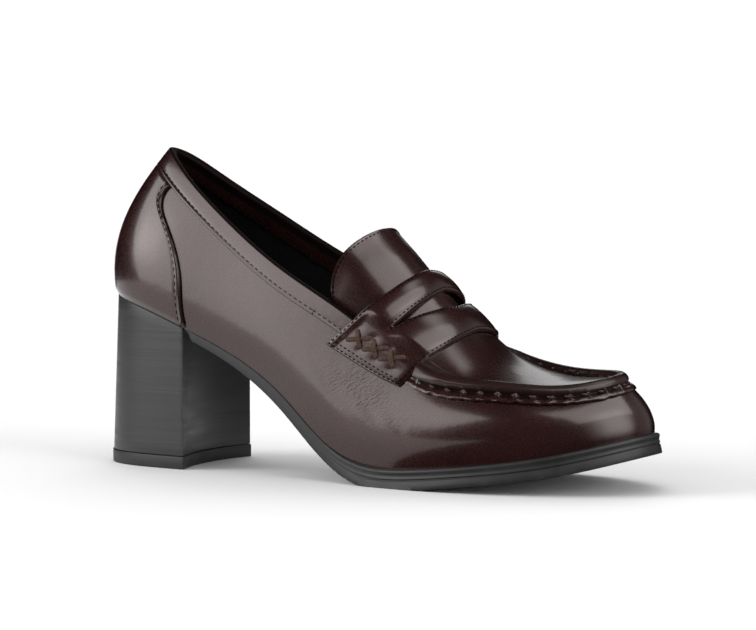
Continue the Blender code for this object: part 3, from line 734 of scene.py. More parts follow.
def border(faces):
    """Edges that only one face uses, in that face's direction."""
    edges = {(a, b) for face in faces for a, b in zip(face, face[1:] + face[:1])}
    return [edge for edge in edges if edge[::-1] not in edges]


def frame_shift():
    """From the maker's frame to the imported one, by the sole's toe tip and its widest points."""
    edge = max(row[0] for row in SOLE_PROFILE)
    turns = np.linspace(0, 1, OUTLINE_STEPS)
    line = feather_line(turns) + outward(turns, feather_line) * edge
    low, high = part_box("outsole")
    x = high.x / MM - line[:, 0].max()
    y = (low.y + high.y) / 2 / MM - (line[:, 1].min() + line[:, 1].max()) / 2
    return np.array((x, y, 0.0))


SHIFT = frame_shift()


def in_frame(points):
    return (np.asarray(points, float).reshape(-1, 3) + SHIFT) * MM


def point_value(mesh, name, values):
    attribute = mesh.attributes.new(name, "FLOAT", "POINT")
    attribute.data.foreach_set("value", np.asarray(values, np.float32).ravel())


def add_object(name, data):
    added = bpy.data.objects.new(name, data)
    bpy.context.scene.collection.objects.link(added)
    return added


def make_piece(name, points, faces, materials, inner_faces=0, crease_angle=CREASE_ANGLE):
    """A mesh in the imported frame; its last inner_faces faces take the second material."""
    mesh = bpy.data.meshes.new(name)
    mesh.from_pydata(in_frame(points).tolist(), [], faces)
    for material in materials:
        mesh.materials.append(material)
    if inner_faces:
        slots = np.zeros(len(faces), np.int32)
        slots[-inner_faces:] = 1
        mesh.polygons.foreach_set("material_index", slots)
    work = bmesh.new()
    work.from_mesh(mesh)
    bmesh.ops.recalc_face_normals(work, faces=work.faces)
    work.to_mesh(mesh)
    work.free()
    mesh.shade_smooth()
    mesh.set_sharp_from_angle(angle=np.radians(crease_angle))
    return add_object(name, mesh)


def thick_sheet(name, outer, inner, faces, materials):
    """A closed piece between an outer and an inner face of the same layout."""
    outer = np.asarray(outer, float).reshape(-1, 3)
    inner = np.asarray(inner, float).reshape(-1, 3)
    used = sorted({i for face in faces for i in face})
    number = {old: new for new, old in enumerate(used)}
    faces = [[number[i] for i in face] for face in faces]
    count = len(used)
    rim = [[b, a, a + count, b + count] for a, b in border(faces)]
    back = [[i + count for i in reversed(face)] for face in faces]
    points = np.concatenate((outer[used], inner[used]))
    lined = len(back) if len(materials) > 1 else 0
    return make_piece(name, points, faces + rim + back, materials, lined)


def finished(piece):
    """Turns a piece with modifiers into a plain mesh."""
    graph = bpy.context.evaluated_depsgraph_get()
    mesh = bpy.data.meshes.new_from_object(piece.evaluated_get(graph))
    piece.modifiers.clear()
    piece.data = mesh
    return piece


def set_on_shoe(piece, slot, *nodes):
    """The piece rides on the shoe's one body and hides the solids it stands for; the slot is not used."""
    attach(piece, "root")
    if nodes:
        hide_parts(*nodes)
    return piece


def edge_rounding(distance, radius):
    """How far a cut edge falls away towards its border."""
    inside = np.clip(radius - distance, 0, radius)
    return radius - np.sqrt(radius**2 - inside**2)


def stitch_groove(distance, inset=STITCH_INSET):
    return STITCH_GROOVE * bell(distance - inset, STITCH_GROOVE_WIDTH)


# Materials
LEATHER_DARK, LEATHER_LIGHT = (0.0122, 0.0028, 0.0028), (0.0172, 0.0045, 0.0043)
# Near-black of dyed cut edges, also the colour of the painted shade in recesses, on folds and along edges
# that cast a shadow
EDGE_INK_AND_SHADE = (0.0030, 0.0010, 0.0010)
RUBBER_DARK, RUBBER_LIGHT = (0.0115, 0.0112, 0.0116), (0.0158, 0.0154, 0.0160)
STACK_DARK, STACK_LIGHT = (0.0140, 0.0140, 0.0142), (0.0205, 0.0205, 0.0207)
FLEX_STREAK = (0.0017, 0.0011, 0.0007)
FLEX_TURN = np.radians(-32.0)
LAYER_STREAK = (0.055, 0.055, 0.00067)
SHINE_STREAK = (0.017, 0.017, 0.0024)
PLAIN_FINISHES = (
    # name, scale and detail of the noise, dark and light colour, depth and strength of the relief,
    # roughness, specular level
    ("black_lining_cloth", 1300.0, 2.0, (0.0022, 0.0022, 0.0022), (0.006, 0.006, 0.006),
     (0.06, 0.6), 0.9, 0.2),
    ("brown_waxed_thong", 1700.0, 4.0, (0.024, 0.0108, 0.0064), (0.058, 0.029, 0.0185),
     (0.12, 0.8), 0.72, 0.3),
    ("dark_sewing_thread", 3000.0, 2.0, (0.0016, 0.0009, 0.0009), (0.0036, 0.0020, 0.0020),
     None, 0.85, 0.08),
    ("brown_seam_thread", 1800.0, 2.0, (0.020, 0.0080, 0.0048), (0.052, 0.0225, 0.0140),
     (0.15, 0.8), 0.5, 0.5),
)


def node_material(name):
    material = bpy.data.materials.new(name)
    material.use_nodes = True
    nodes, links = material.node_tree.nodes, material.node_tree.links
    place = nodes.new("ShaderNodeTexCoord").outputs["Object"]
    return material, nodes, links, nodes["Principled BSDF"], place


def noise(nodes, links, place, scale, detail=3.0, streak=None, turn=0.0):
    """Noise on Object coordinates: waves a metre, or streaks of a length along three axes turned about Y."""
    texture = nodes.new("ShaderNodeTexNoise")
    texture.inputs["Scale"].default_value = scale
    texture.inputs["Detail"].default_value = detail
    if streak:
        mapping = nodes.new("ShaderNodeMapping")
        mapping.vector_type = "TEXTURE"
        mapping.inputs["Scale"].default_value = streak
        mapping.inputs["Rotation"].default_value = (0.0, turn, 0.0)
        links.new(place, mapping.inputs["Vector"])
        place = mapping.outputs["Vector"]
    links.new(place, texture.inputs["Vector"])
    return texture.outputs["Fac"]


def spread(nodes, links, value, low, high, start=0.3, end=0.7):
    """Maps the middle of a noise to a range of values."""
    ranged = nodes.new("ShaderNodeMapRange")
    ranged.inputs["From Min"].default_value = start
    ranged.inputs["From Max"].default_value = end
    ranged.inputs["To Min"].default_value = low
    ranged.inputs["To Max"].default_value = high
    links.new(value, ranged.inputs["Value"])
    return ranged.outputs["Result"]


def two_colours(nodes, links, value, first, second, start=0.35, end=0.65):
    ramp = nodes.new("ShaderNodeValToRGB")
    ramp.color_ramp.elements[0].position = start
    ramp.color_ramp.elements[0].color = (*first, 1.0)
    ramp.color_ramp.elements[1].position = end
    ramp.color_ramp.elements[1].color = (*second, 1.0)
    links.new(value, ramp.inputs["Fac"])
    return ramp.outputs["Color"]


def bump(nodes, links, height, distance, strength=1.0, under=None):
    """Relief of a height in millimetres, laid over another relief."""
    relief = nodes.new("ShaderNodeBump")
    relief.inputs["Distance"].default_value = distance * MM
    relief.inputs["Strength"].default_value = strength
    links.new(height, relief.inputs["Height"])
    if under:
        links.new(under, relief.inputs["Normal"])
    return relief.outputs["Normal"]


def painted_share(nodes, name):
    """A share from 0 to 1 that a piece's mesh holds at its points."""
    attribute = nodes.new("ShaderNodeAttribute")
    attribute.attribute_name = name
    return attribute.outputs["Fac"]


def polished_leather():
    """Dark burgundy leather, fine-grained under a glossy coat, wrinkled at the flex, dyed black at cut edges
    and darkened by painted shade in recesses, on folds and along shaded edges.
    """
    material, nodes, links, shader, place = node_material("polished_burgundy_leather")
    ink_and_painted_shade = painted_share(nodes, "ink_and_painted_shade")
    cloud = noise(nodes, links, place, scale=38.0, detail=4.0)
    # Darkens to near-black where a piece carries the share: dyed cut edges, and painted shade in the seam's
    # pockets, on its roll, on the collar's rim fold and as shadow lines along the counter's and binding's
    # edges
    colour = nodes.new("ShaderNodeMix")
    colour.data_type = "RGBA"
    links.new(ink_and_painted_shade, colour.inputs["Factor"])
    links.new(two_colours(nodes, links, cloud, LEATHER_DARK, LEATHER_LIGHT), colour.inputs["A"])
    colour.inputs["B"].default_value = (*EDGE_INK_AND_SHADE, 1.0)
    links.new(colour.outputs["Result"], shader.inputs["Base Color"])
    coat = spread(nodes, links, ink_and_painted_shade, low=0.85, high=0.0, start=0.0, end=1.0)
    links.new(coat, shader.inputs["Coat Weight"])
    shine = spread(nodes, links, ink_and_painted_shade, low=0.5, high=0.05, start=0.0, end=1.0)
    links.new(shine, shader.inputs["Specular IOR Level"])
    pores = noise(nodes, links, place, scale=1500.0, detail=2.0)
    matt = nodes.new("ShaderNodeMix")
    links.new(ink_and_painted_shade, matt.inputs["Factor"])
    links.new(spread(nodes, links, pores, low=0.24, high=0.34), matt.inputs["A"])
    matt.inputs["B"].default_value = INK_AND_SHADE_ROUGHNESS
    links.new(matt.outputs["Result"], shader.inputs["Roughness"])
    waves = noise(nodes, links, place, scale=95.0, detail=2.0)
    swell = bump(nodes, links, waves, distance=0.16, strength=0.5)
    pebbles = noise(nodes, links, place, scale=420.0, detail=3.0)
    pebble = bump(nodes, links, pebbles, distance=0.016, strength=0.6, under=swell)
    grain = bump(nodes, links, pores, distance=0.006, strength=0.8, under=pebble)
    lines = noise(nodes, links, place, scale=1.0, detail=3.0, streak=FLEX_STREAK, turn=FLEX_TURN)
    worn = nodes.new("ShaderNodeMath")
    worn.operation = "MULTIPLY"
    links.new(lines, worn.inputs[0])
    links.new(painted_share(nodes, "flex"), worn.inputs[1])
    wrinkled = bump(nodes, links, worn.outputs["Value"], distance=0.12, under=grain)
    links.new(wrinkled, shader.inputs["Normal"])
    links.new(wrinkled, shader.inputs["Coat Normal"])
    shader.inputs["Specular Tint"].default_value = (1.0, 0.80, 0.78, 1.0)
    shader.inputs["Coat Roughness"].default_value = 0.13
    shader.inputs["Coat IOR"].default_value = 1.5
    return material


def moulded_rubber():
    """Black satin rubber with a faint mould texture and a little scuffing."""
    material, nodes, links, shader, place = node_material("black_moulded_rubber")
    scuff = noise(nodes, links, place, scale=160.0, detail=5.0)
    links.new(two_colours(nodes, links, scuff, RUBBER_DARK, RUBBER_LIGHT), shader.inputs["Base Color"])
    links.new(spread(nodes, links, scuff, low=0.38, high=0.55), shader.inputs["Roughness"])
    pebble = noise(nodes, links, place, scale=2200.0, detail=2.0)
    links.new(bump(nodes, links, pebble, distance=0.03, strength=0.6), shader.inputs["Normal"])
    return material


def stacked_layers():
    """Black heel cover with the fine level lines of stacked layers."""
    material, nodes, links, shader, place = node_material("black_stacked_heel")
    layers = noise(nodes, links, place, scale=1.0, detail=3.0, streak=LAYER_STREAK)
    streaks = noise(nodes, links, place, scale=1.0, detail=2.0, streak=SHINE_STREAK)
    links.new(two_colours(nodes, links, layers, STACK_DARK, STACK_LIGHT), shader.inputs["Base Color"])
    links.new(spread(nodes, links, streaks, low=0.30, high=0.42), shader.inputs["Roughness"])
    links.new(bump(nodes, links, layers, distance=0.05, strength=0.6), shader.inputs["Normal"])
    return material


def plain_finish(name, scale, detail, dark, light, relief, roughness, shine):
    """A finish with one fine noise in its colour and, where it has relief, in that too."""
    material, nodes, links, shader, place = node_material(name)
    fibre = noise(nodes, links, place, scale, detail)
    links.new(two_colours(nodes, links, fibre, dark, light), shader.inputs["Base Color"])
    if relief:
        links.new(bump(nodes, links, fibre, *relief), shader.inputs["Normal"])
    shader.inputs["Roughness"].default_value = roughness
    shader.inputs["Specular IOR Level"].default_value = shine
    return material


LEATHER = polished_leather()
RUBBER = moulded_rubber()
STACK = stacked_layers()
LINING, THONG, THREAD, SEAM_THREAD = (plain_finish(*row) for row in PLAIN_FINISHES)


# Upper: vamp, quarters and apron
def crease_height(points):
    """Soft troughs with a ridge beside them, across the flexing part of each side."""
    height = np.zeros(points.shape[:-1])
    flat = points[..., (0, 2)]
    for side, x0, z0, x1, z1, depth, width in CREASE_ROWS:
        start, end = np.array((x0, z0)), np.array((x1, z1))
        run = end - start
        share = np.clip(((flat - start) @ run) / (run @ run), 0, 1)
        off = flat - start - share[..., None] * run
        across = (off[..., 0] * run[1] - off[..., 1] * run[0]) / np.linalg.norm(run)
        reach = np.linalg.norm(off, axis=-1)
        fade = np.sin(np.pi * (CREASE_FADE + (1 - 2 * CREASE_FADE) * share)) * (points[..., 1] * side > 0)
        trough = bell(reach, width)
        ridge = bell(np.hypot(across - RIDGE_PLACE * width, reach - np.abs(across)), width)
        height += depth * fade * (RIDGE_HEIGHT * ridge - trough)
    return height


def flex_share(points):
    """How finely wrinkled the leather is, from 0 to 1."""
    share = np.zeros(points.shape[:-1])
    for side, x, z, length, height, strength in FLEX_ZONES:
        away = np.hypot((points[..., 0] - x) / length, (points[..., 2] - z) / height)
        share = np.maximum(share, strength * np.exp(-away**2) * (points[..., 1] * side > 0))
    return share


def build_upper():
    turns = np.arange(UPPER_COLUMNS) / UPPER_COLUMNS
    levels = np.linspace(0, 1, UPPER_ROWS + 1)
    u, v = np.meshgrid(turns, levels, indexing="ij")
    smooth = wall(u, v)
    normal = wall_normal(u, v)
    smooth[:, 0, 2] -= SKIRT
    outer = smooth + normal * crease_height(smooth)[..., None]
    faces = grid_faces(UPPER_COLUMNS, UPPER_ROWS + 1, closed_rows=True)
    piece = thick_sheet("upper_quarters_and_vamp", outer, smooth - normal * WALL, faces, (LEATHER, LINING))
    shares = flex_share(smooth).ravel()
    point_value(piece.data, "flex", np.concatenate((shares, 0 * shares)))
    return set_on_shoe(piece, "burgundy_leather", "upper")


def build_apron():
    shares = np.linspace(0, 1, APRON_GRID[1])
    stations = np.linspace(APRON_STATION, APRON_TIP, APRON_GRID[0])
    outer = np.array([apron(station, shares) for station in stations])
    inner = outer - np.abs(grid_normals(outer)) * (0, 0, WALL)
    piece = thick_sheet("vamp_apron", outer, inner, grid_faces(*APRON_GRID), (LEATHER, LINING))
    return set_on_shoe(piece, "burgundy_leather")


# Hand-sewn seam round the apron
def seam_columns():
    """Turns at even steps along the seam, and the lengths there."""
    start = STRAP_FRONT_AT_SEAM - SEAM_TUCK
    dense = np.linspace(turn_at_plane(start, 1), 1 + turn_at_plane(start, -1), SEAM_STEPS)
    run = path_lengths(top_edge(dense))
    lengths = np.linspace(0, run[-1], round(run[-1] / SEAM_SPACING) + 1)
    return np.interp(lengths, run, dense), lengths


def seam_bed(turns, depths):
    """Bed of the seam and its normals: depths below the top edge, negative on the apron."""
    on_wall = np.maximum(depths, 0)
    v = below_top(turns, on_wall)
    u = np.broadcast_to(turns[:, None], v.shape)
    edge = top_edge(turns)[:, None, :]
    inward = -outward(turns, top_edge)[:, None, :]
    point = edge + inward * np.maximum(-depths, 0)[..., None]
    x, y = point[..., 0], point[..., 1]
    point[..., 2] = np.maximum(instep(x, y), edge[..., 2] - SEAM_DIP)
    slope_x = instep(x + EDGE_SOFTNESS, y) - instep(x - EDGE_SOFTNESS, y)
    slope_y = instep(x, y + EDGE_SOFTNESS) - instep(x, y - EDGE_SOFTNESS)
    up = unit(np.stack([-slope_x, -slope_y, np.full_like(x, 2 * EDGE_SOFTNESS)], -1))
    share = smooth_step((depths + SEAM_TURN) / (2 * SEAM_TURN))[..., None]
    bed = np.where((depths > 0)[..., None], wall(u, v), point)
    return bed, unit(up * (1 - share) + wall_normal(u, v) * share)


def seam_growth(turns, lengths):
    """Share of the seam's full height: low under the strap, and lower again round the toe."""
    ends = np.minimum(lengths, lengths[-1] - lengths)
    toe = 1 - SEAM_TOE_LOSS * bell(turns - 0.5, SEAM_TOE_REACH)
    return toe * (SEAM_LOW + (1 - SEAM_LOW) * smooth_step(ends / SEAM_GROWTH))


def two_waves(phase, slow, fast, shift):
    """Two waves of different pace, so that no two stitches look alike."""
    return np.sin(slow * phase) + np.sin(fast * phase + shift)


def build_apron_seam():
    """Smooth roll, open channel, leather drawn up at the stitches and flange, as one swept profile."""
    rows = np.array(SEAM_PROFILE)
    profile = smooth_curve(path_lengths(rows[:, :2]), rows)
    depth, height, drawn_up = profile(np.linspace(0, path_lengths(rows[:, :2])[-1], SEAM_ROUND)).T
    turns, lengths = seam_columns()
    phase = lengths / SEAM_PITCH
    uneven = SEAM_UNEVEN * two_waves(phase, *UNEVEN_WAVES) / 2
    from_stitch = (phase - np.round(phase)) * SEAM_PITCH
    tooth = (1 + uneven)[:, None] * bell(from_stitch, SEAM_TOOTH_WIDTH)[:, None]
    on_apron = smooth_step((turns - APRON_TEETH_START) / APRON_TEETH_GROWTH)[:, None]
    tooth = tooth * np.where(depth < 0, on_apron, 1.0)
    flange = smooth_step((depth - FLANGE_START) / FLANGE_GROWTH)
    wave = two_waves(phase, *CRUMPLE_WAVES)
    depths = depth - (SEAM_WAVE * tooth + SEAM_CRUMPLE * wave[:, None]) * flange
    crumple = SEAM_CRUMPLE * np.sin(WRINKLES_ALONG * phase[:, None] + WRINKLES_ACROSS * depth) * flange
    raised = np.maximum(height + drawn_up * tooth + crumple, SEAM_LEAST)
    heights = seam_growth(turns, lengths)[:, None] * raised
    under = np.array(SEAM_UNDERSIDE)
    under_depths, under_heights = (np.broadcast_to(row, (len(turns), len(under))) for row in under.T)
    depths = np.concatenate((depths, under_depths), axis=1)
    heights = np.concatenate((heights, under_heights), axis=1)
    bed, normal = seam_bed(turns, depths)
    grid = bed + normal * heights[..., None]
    piece = make_piece("apron_seam_roll_and_flange", grid, tube_faces(*grid.shape[:2]), (LEATHER,))
    ink_and_shade = np.zeros(grid.shape[:2])
    # Painted shade: near-black in the channel's pockets between the teeth, and a darker roll that stands in
    # for the dim, broken sheen of its wrinkled leather
    pocket_shade = bell(depth - POCKET_DEPTH, POCKET_WIDTH) * (1 - tooth) * (height < POCKET_HEIGHT)
    ink_and_shade[:, :SEAM_ROUND] = pocket_shade + ROLL_PAINTED_SHADE * (depth < ROLL_DEPTH)
    point_value(piece.data, "ink_and_painted_shade", np.clip(ink_and_shade, 0, 1))
    worn = np.zeros(grid.shape[:2])
    worn[:, :SEAM_ROUND] = FLANGE_WRINKLES * flange
    point_value(piece.data, "flex", worn)
    return set_on_shoe(piece, "burgundy_leather", "apron_seam")


# Counter, binding and tongue
def build_counter():
    """Counter with a turned front edge; its top runs in under the binding."""
    rows = np.array(COUNTER_ROWS)
    front = smooth_curve(rows[:, 0], rows[:, 1] / 2)
    across = np.linspace(-1, 1, COUNTER_GRID[0])
    up = np.linspace(0, COUNTER_TOP, COUNTER_GRID[1])
    u = across[:, None] * front(up)[None, :]
    top = below_top(u.ravel(), [BINDING_OUTSIDE + GAP]).reshape(u.shape)
    v = COUNTER_FOOT + (top - COUNTER_FOOT) * up[None, :]
    bed, normal = wall(u, v), wall_normal(u, v)
    bed[:, 0, 2] -= SKIRT
    run = grid_lengths(bed, 0)
    inset = np.minimum(run, run[-1] - run)
    from_foot = grid_lengths(bed, 1)
    height = COUNTER + COUNTER_ROLL * bell(inset - COUNTER_ROLL_PLACE, COUNTER_ROLL_WIDTH)
    height = height - COUNTER_GROOVE * stitch_groove(inset, COUNTER_INSET)
    foot_loss = COUNTER_FOOT_LOSS * (1 - smooth_step(from_foot / COUNTER_FOOT_REACH))
    height -= edge_rounding(inset, COUNTER_EDGE) + foot_loss
    height -= COUNTER_TOP_LOSS * smooth_step((up[None, :] - 1.0) / COUNTER_TOP_REACH)
    raised = bed + normal * height[..., None]
    tucked = u * (1 - UNDERCUT / run[-1] * 2)
    under = wall(tucked, v) + wall_normal(tucked, v) * UNDERSIDE
    piece = thick_sheet("heel_counter_overlay", raised, under, grid_faces(*COUNTER_GRID), (LEATHER,))
    # Painted shadow: a near-black line along both front edges, on the edge walls and the underside, where
    # the turned edge casts its shadow
    ink_and_shade = bell(inset, COUNTER_SHADOW_LINE_WIDTH).ravel()
    point_value(piece.data, "ink_and_painted_shade", np.concatenate((ink_and_shade, 0 * ink_and_shade + 1)))
    sewn = up < 1.0
    stitches = [
        follow_level(raised[:, sewn], normal[:, sewn], run[:, sewn], COUNTER_INSET),
        follow_level(raised[::-1, sewn], normal[::-1, sewn], (run[-1] - run)[::-1, sewn], COUNTER_INSET),
    ]
    return set_on_shoe(piece, "burgundy_leather", "heel_counter"), stitches


def binding_columns(count):
    """Turns along the collar from one end of the binding to the other, with the slant of its ends."""
    end = STRAP_BACK_AT_COLLAR + BINDING_TUCK
    first, last = turn_at_plane(end, -1), turn_at_plane(end, 1)
    shares = np.linspace(-1, 1, count)
    turns = np.where(shares > 0, last * shares, -first * shares)
    slope = strap_plane(wall(turns + STEP, 1.0)) - strap_plane(wall(turns - STEP, 1.0))
    slope = np.where(np.abs(slope) < STEP * STEP, STEP, slope)
    ending = smooth_step((np.abs(shares) - BINDING_SLANT_START) / (1 - BINDING_SLANT_START))
    return turns, STEP / slope * ending


def binding_row(turns, pull, face, depth, height):
    """One line of the binding along the collar, and its normals."""
    turn = turns - pull * depth
    v = below_top(turn, [depth])[:, 0]
    point, normal = wall(turn, v), wall_normal(turn, v)
    if face > 0:
        return point + normal * height, normal
    return point - normal * (WALL + height), -normal


def build_binding():
    turns, pull = binding_columns(BINDING_COLUMNS)
    outer, inner = [], []
    for face, depth, height in BINDING_PROFILE:
        if face:
            outer.append(binding_row(turns, pull, face, depth, height)[0])
            inner.append(binding_row(turns, pull, face, depth, UNDERSIDE)[0])
            continue
        point, normal = wall(turns, 1.0), wall_normal(turns, np.ones_like(turns))
        rise = unit(point - wall(turns, 1 - STEP))
        crown = point - normal * WALL / 2
        flat_part = (1 - BINDING_FOLD) * (WALL / 2 + height)
        for angle in np.linspace(0, np.pi, BINDING_BEND):
            level, lift = np.cos(angle), np.sin(angle)
            level = np.sign(level) * abs(level)**FOLD_SQUARENESS
            way = normal * level + rise * abs(lift)**FOLD_SQUARENESS * BINDING_FOLD
            outer.append(crown + rise * flat_part + way * (WALL / 2 + height))
            inner.append(crown + way * (WALL / 2 + UNDERSIDE))
    outer, inner = np.array(outer), np.array(inner)
    piece = thick_sheet("collar_binding_band", outer, inner, grid_faces(*outer.shape[:2]), (LEATHER,))
    # The first rows, the band's cut lower edge, are dyed black and painted as the shadow line under the
    # band; the rim's fold carries painted shade where it turns over the top
    ink_and_shade = np.zeros(outer.shape[:2])
    ink_and_shade[:BINDING_DYED_AND_SHADOW_ROWS] = 1.0
    first = sum(1 for row in BINDING_PROFILE if row[0] > 0)
    ink_and_shade[first + 1:first + BINDING_BEND + 1] = RIM_PAINTED_SHADE
    point_value(piece.data, "ink_and_painted_shade", np.concatenate((ink_and_shade.ravel(), 0 * ink_and_shade.ravel() + 1)))
    stitches = [binding_row(turns, pull, *row) for row in BINDING_STITCHES]
    return set_on_shoe(piece, "burgundy_leather", "collar_binding"), stitches


def tongue_point(s, across):
    """Tongue bent over the instep: s from its joint to its top, across from -1 to 1."""
    lower = along(APRON_STATION / 2, TOP_BACK, TOP_FRONT) + APRON_SLANT - TONGUE_JOINT
    lateral = smooth_step(-across / TONGUE_SIDE)
    reach = TONGUE_REACH + TONGUE_SWELL * np.sin(np.pi * s) + TONGUE_LATERAL_REACH * s * lateral
    angle = reach * across
    half_width = TONGUE_HALF_WIDTH - TONGUE_LATERAL_NARROWING * lateral
    place = lower + (TONGUE_TOP - lower) * s + TONGUE_ROUNDING * np.abs(across)**TONGUE_CORNER * s
    sag = TONGUE_RADIUS * (1 - np.cos(angle))
    x = place - np.sin(INSTEP_SLOPE) * sag
    z = crest(x) - sag / np.cos(INSTEP_SLOPE) - TONGUE_TUCK
    return np.stack([x, TONGUE_CENTRE + half_width * np.sin(angle), z], -1)


def build_tongue():
    s, across = np.meshgrid(np.linspace(1, 0, TONGUE_GRID[0]), np.linspace(-1, 1, TONGUE_GRID[1]),
                            indexing="ij")
    grid = tongue_point(s, across)
    normal = grid_normals(grid)
    from_top = grid_lengths(grid, 0)
    run = grid_lengths(grid, 1)
    from_side = np.minimum(run, run[:, -1:] - run)
    nearness = sum(1 / np.maximum(distance, STEP)**TONGUE_BORDER for distance in (from_top, from_side))
    inset = 1 / nearness**(1 / TONGUE_BORDER)
    roll = TONGUE_ROLL * bell(inset - TONGUE_ROLL_PLACE, TONGUE_ROLL_WIDTH)
    height = roll - stitch_groove(inset) - edge_rounding(inset, TONGUE_EDGE)
    height += TONGUE_FILL * smooth_step((inset - TONGUE_FILL_START) / TONGUE_FILL_GROWTH)
    raised = grid + normal * height[..., None]
    piece = thick_sheet("tongue_leather", raised, grid - normal * TONGUE, grid_faces(*TONGUE_GRID),
                        (LEATHER, LINING))
    top = from_side[0] > 2 * STITCH_INSET
    turned = [array.swapaxes(0, 1) for array in (raised, normal, inset)]
    stitches = [
        follow_level(raised[:, top], normal[:, top], inset[:, top], STITCH_INSET),
        follow_level(*turned, STITCH_INSET),
        follow_level(*(array[::-1] for array in turned), STITCH_INSET),
    ]
    return set_on_shoe(piece, "burgundy_leather", "tongue"), stitches


def follow_level(points, normals, inset, level):
    """Line across the columns of a grid where the distance from the first row's edge reaches a level."""
    line, facing = [], []
    for j in range(points.shape[1]):
        column = inset[:, j]
        if column.max() < level:
            continue
        i = int(np.argmax(column >= level))
        share = 0.0 if i == 0 else (level - column[i - 1]) / (column[i] - column[i - 1])
        line.append(points[i, j] if i == 0 else points[i - 1, j] * (1 - share) + points[i, j] * share)
        facing.append(normals[i, j])
    return np.array(line), np.array(facing)


# Saddle strap and its thongs
def slot_width(size):
    """Width of the slot between the bands at a girth share, and nothing beyond its ends."""
    return np.where(size < SLOT_END, np.maximum(slot_opening(size), 0.0), 0.0)


def strap_bands():
    """Place and distances of every point of the two bands, row by row."""
    size = np.abs(STRAP_SHARES)
    slot = slot_width(size)
    k = np.linspace(0, 1, BAND_ROWS + 1)[:, None]
    upper = (strap_upper(size), SLOT_MIDDLE - slot / 2)
    lower = (SLOT_MIDDLE + slot / 2, strap_lower(size))
    return [start + (end - start) * k for start, end in (upper, lower)], slot


def thong_holes():
    """Places and distances from a tab's end of the holes along the two sides of a row of crosses."""
    places = np.linspace(THONG_FIRST, THONG_LAST, THONG_CROSSES + 1)
    return {name: [(place, THONG_FROM_END + way * THONG_HALF_HEIGHT) for place in places]
            for name, way in (("top", 1), ("low", -1))}


def strap_height(places, band, slot):
    """Height of the strap's face above its bed, and how far its underside is above it."""
    size = np.abs(STRAP_SHARES)[None, :]
    whole = smooth_step((size - SLOT_END) / (TAB_START - SLOT_END))
    from_upper = (places - strap_upper(size)) * PLACE_TO_LENGTH
    from_lower = (strap_lower(size) - places) * PLACE_TO_LENGTH
    side = SLOT_MIDDLE + (slot / 2 if band else -slot / 2)
    beyond = np.maximum(size - SLOT_END, 0) * HALF_GIRTHS
    from_slot = np.hypot(np.abs(places - side) * PLACE_TO_LENGTH, beyond)
    from_end = (1 - size) * HALF_GIRTHS
    from_outside = from_lower if band else from_upper
    middle = np.clip(from_outside / np.maximum(from_outside + from_slot, STEP), 0, 1)
    fullness = BAND_PUFF - BAND_PUFF_SLANT * STRAP_SHARES[None, :]
    puff = fullness * (4 * middle * (1 - middle))**BAND_FULLNESS * (1 - whole)
    across = np.clip(from_upper / (from_upper + from_lower), 0, 1)
    roll = TAB_ROLL * bell(from_upper - TAB_ROLL_PLACE, TAB_ROLL_WIDTH)
    puff = puff + (TAB_PUFF * 4 * across * (1 - across) + roll) * whole
    for hole_place, hole_from_end in sum(thong_holes().values(), []):
        away = np.hypot((places - hole_place) * PLACE_TO_LENGTH, from_end - hole_from_end)
        puff = puff - HOLE_DIMPLE * bell(away, DIMPLE_WIDTH) * whole
    valley = VALLEY * bell(places - SLOT_MIDDLE, VALLEY_WIDTH) * (1 - whole)
    valley = valley * smooth_step(beyond / VALLEY_GROWTH)
    groove = sum(stitch_groove(d, STRAP_INSET) for d in (from_upper, from_lower, from_slot, from_end))
    edge = edge_rounding(np.minimum(np.minimum(from_upper, from_lower), from_end), STRAP_EDGE)
    slot_edge = edge_rounding(from_slot, STRAP_EDGE) * (1 - smooth_step(beyond / SLOT_EDGE_FADE))
    free = from_slot / (from_slot + from_lower) if band else from_upper / (from_upper + from_slot)
    lift = STRAP_LIFT + STRAP_ARCH * bell(size, STRAP_ARCH_REACH) * free
    return STRAP + lift + puff - valley - groove - np.maximum(edge, slot_edge), lift


def build_strap():
    bands, slot = strap_bands()
    columns = range(len(STRAP_SHARES))
    outer, inner = [], []
    for band, places in enumerate(bands):
        bed = strap_bed(places, columns)
        normal = grid_normals(bed)
        height, lift = strap_height(places, band, slot)
        outer.append(bed + normal * height[..., None])
        inner.append(bed + normal * lift[..., None])
    size = BAND_ROWS + 1
    numbers = np.arange(2 * size * len(columns)).reshape(2, size, len(columns))
    for j in np.flatnonzero(slot == 0):
        for layer in (outer, inner):
            layer[0][-1, j] = (layer[0][-1, j] + layer[1][0, j]) / 2
        numbers[1, 0, j] = numbers[0, -1, j]
    faces = []
    for band in numbers:
        for i in range(BAND_ROWS):
            for j in range(len(columns) - 1):
                faces.append([int(band[k]) for k in ((i, j), (i + 1, j), (i + 1, j + 1), (i, j + 1))])
    outer, inner = np.concatenate(outer), np.concatenate(inner)
    piece = thick_sheet("saddle_strap_leather", outer, inner, faces, (LEATHER,))
    return set_on_shoe(piece, "burgundy_leather", "saddle_strap"), strap_stitches()


def strap_spot(place, share, above):
    """A point on the strap's face at a place and a girth share, and its normal there."""
    j = (share + 1) / 2 * STRAP_COLUMNS
    near = int(np.clip(round(j), 1, STRAP_COLUMNS - 1))
    columns = (near - 1, near, near + 1)
    places = place + np.array((-PATCH_STEP, 0.0, PATCH_STEP))[:, None] + np.zeros(3)
    patch = strap_bed(places, columns)
    normal = grid_normals(patch)[1, 1]
    shift = (j - near) * (patch[1, 2] - patch[1, 0]) / 2
    return patch[1, 1] + shift + normal * above, normal


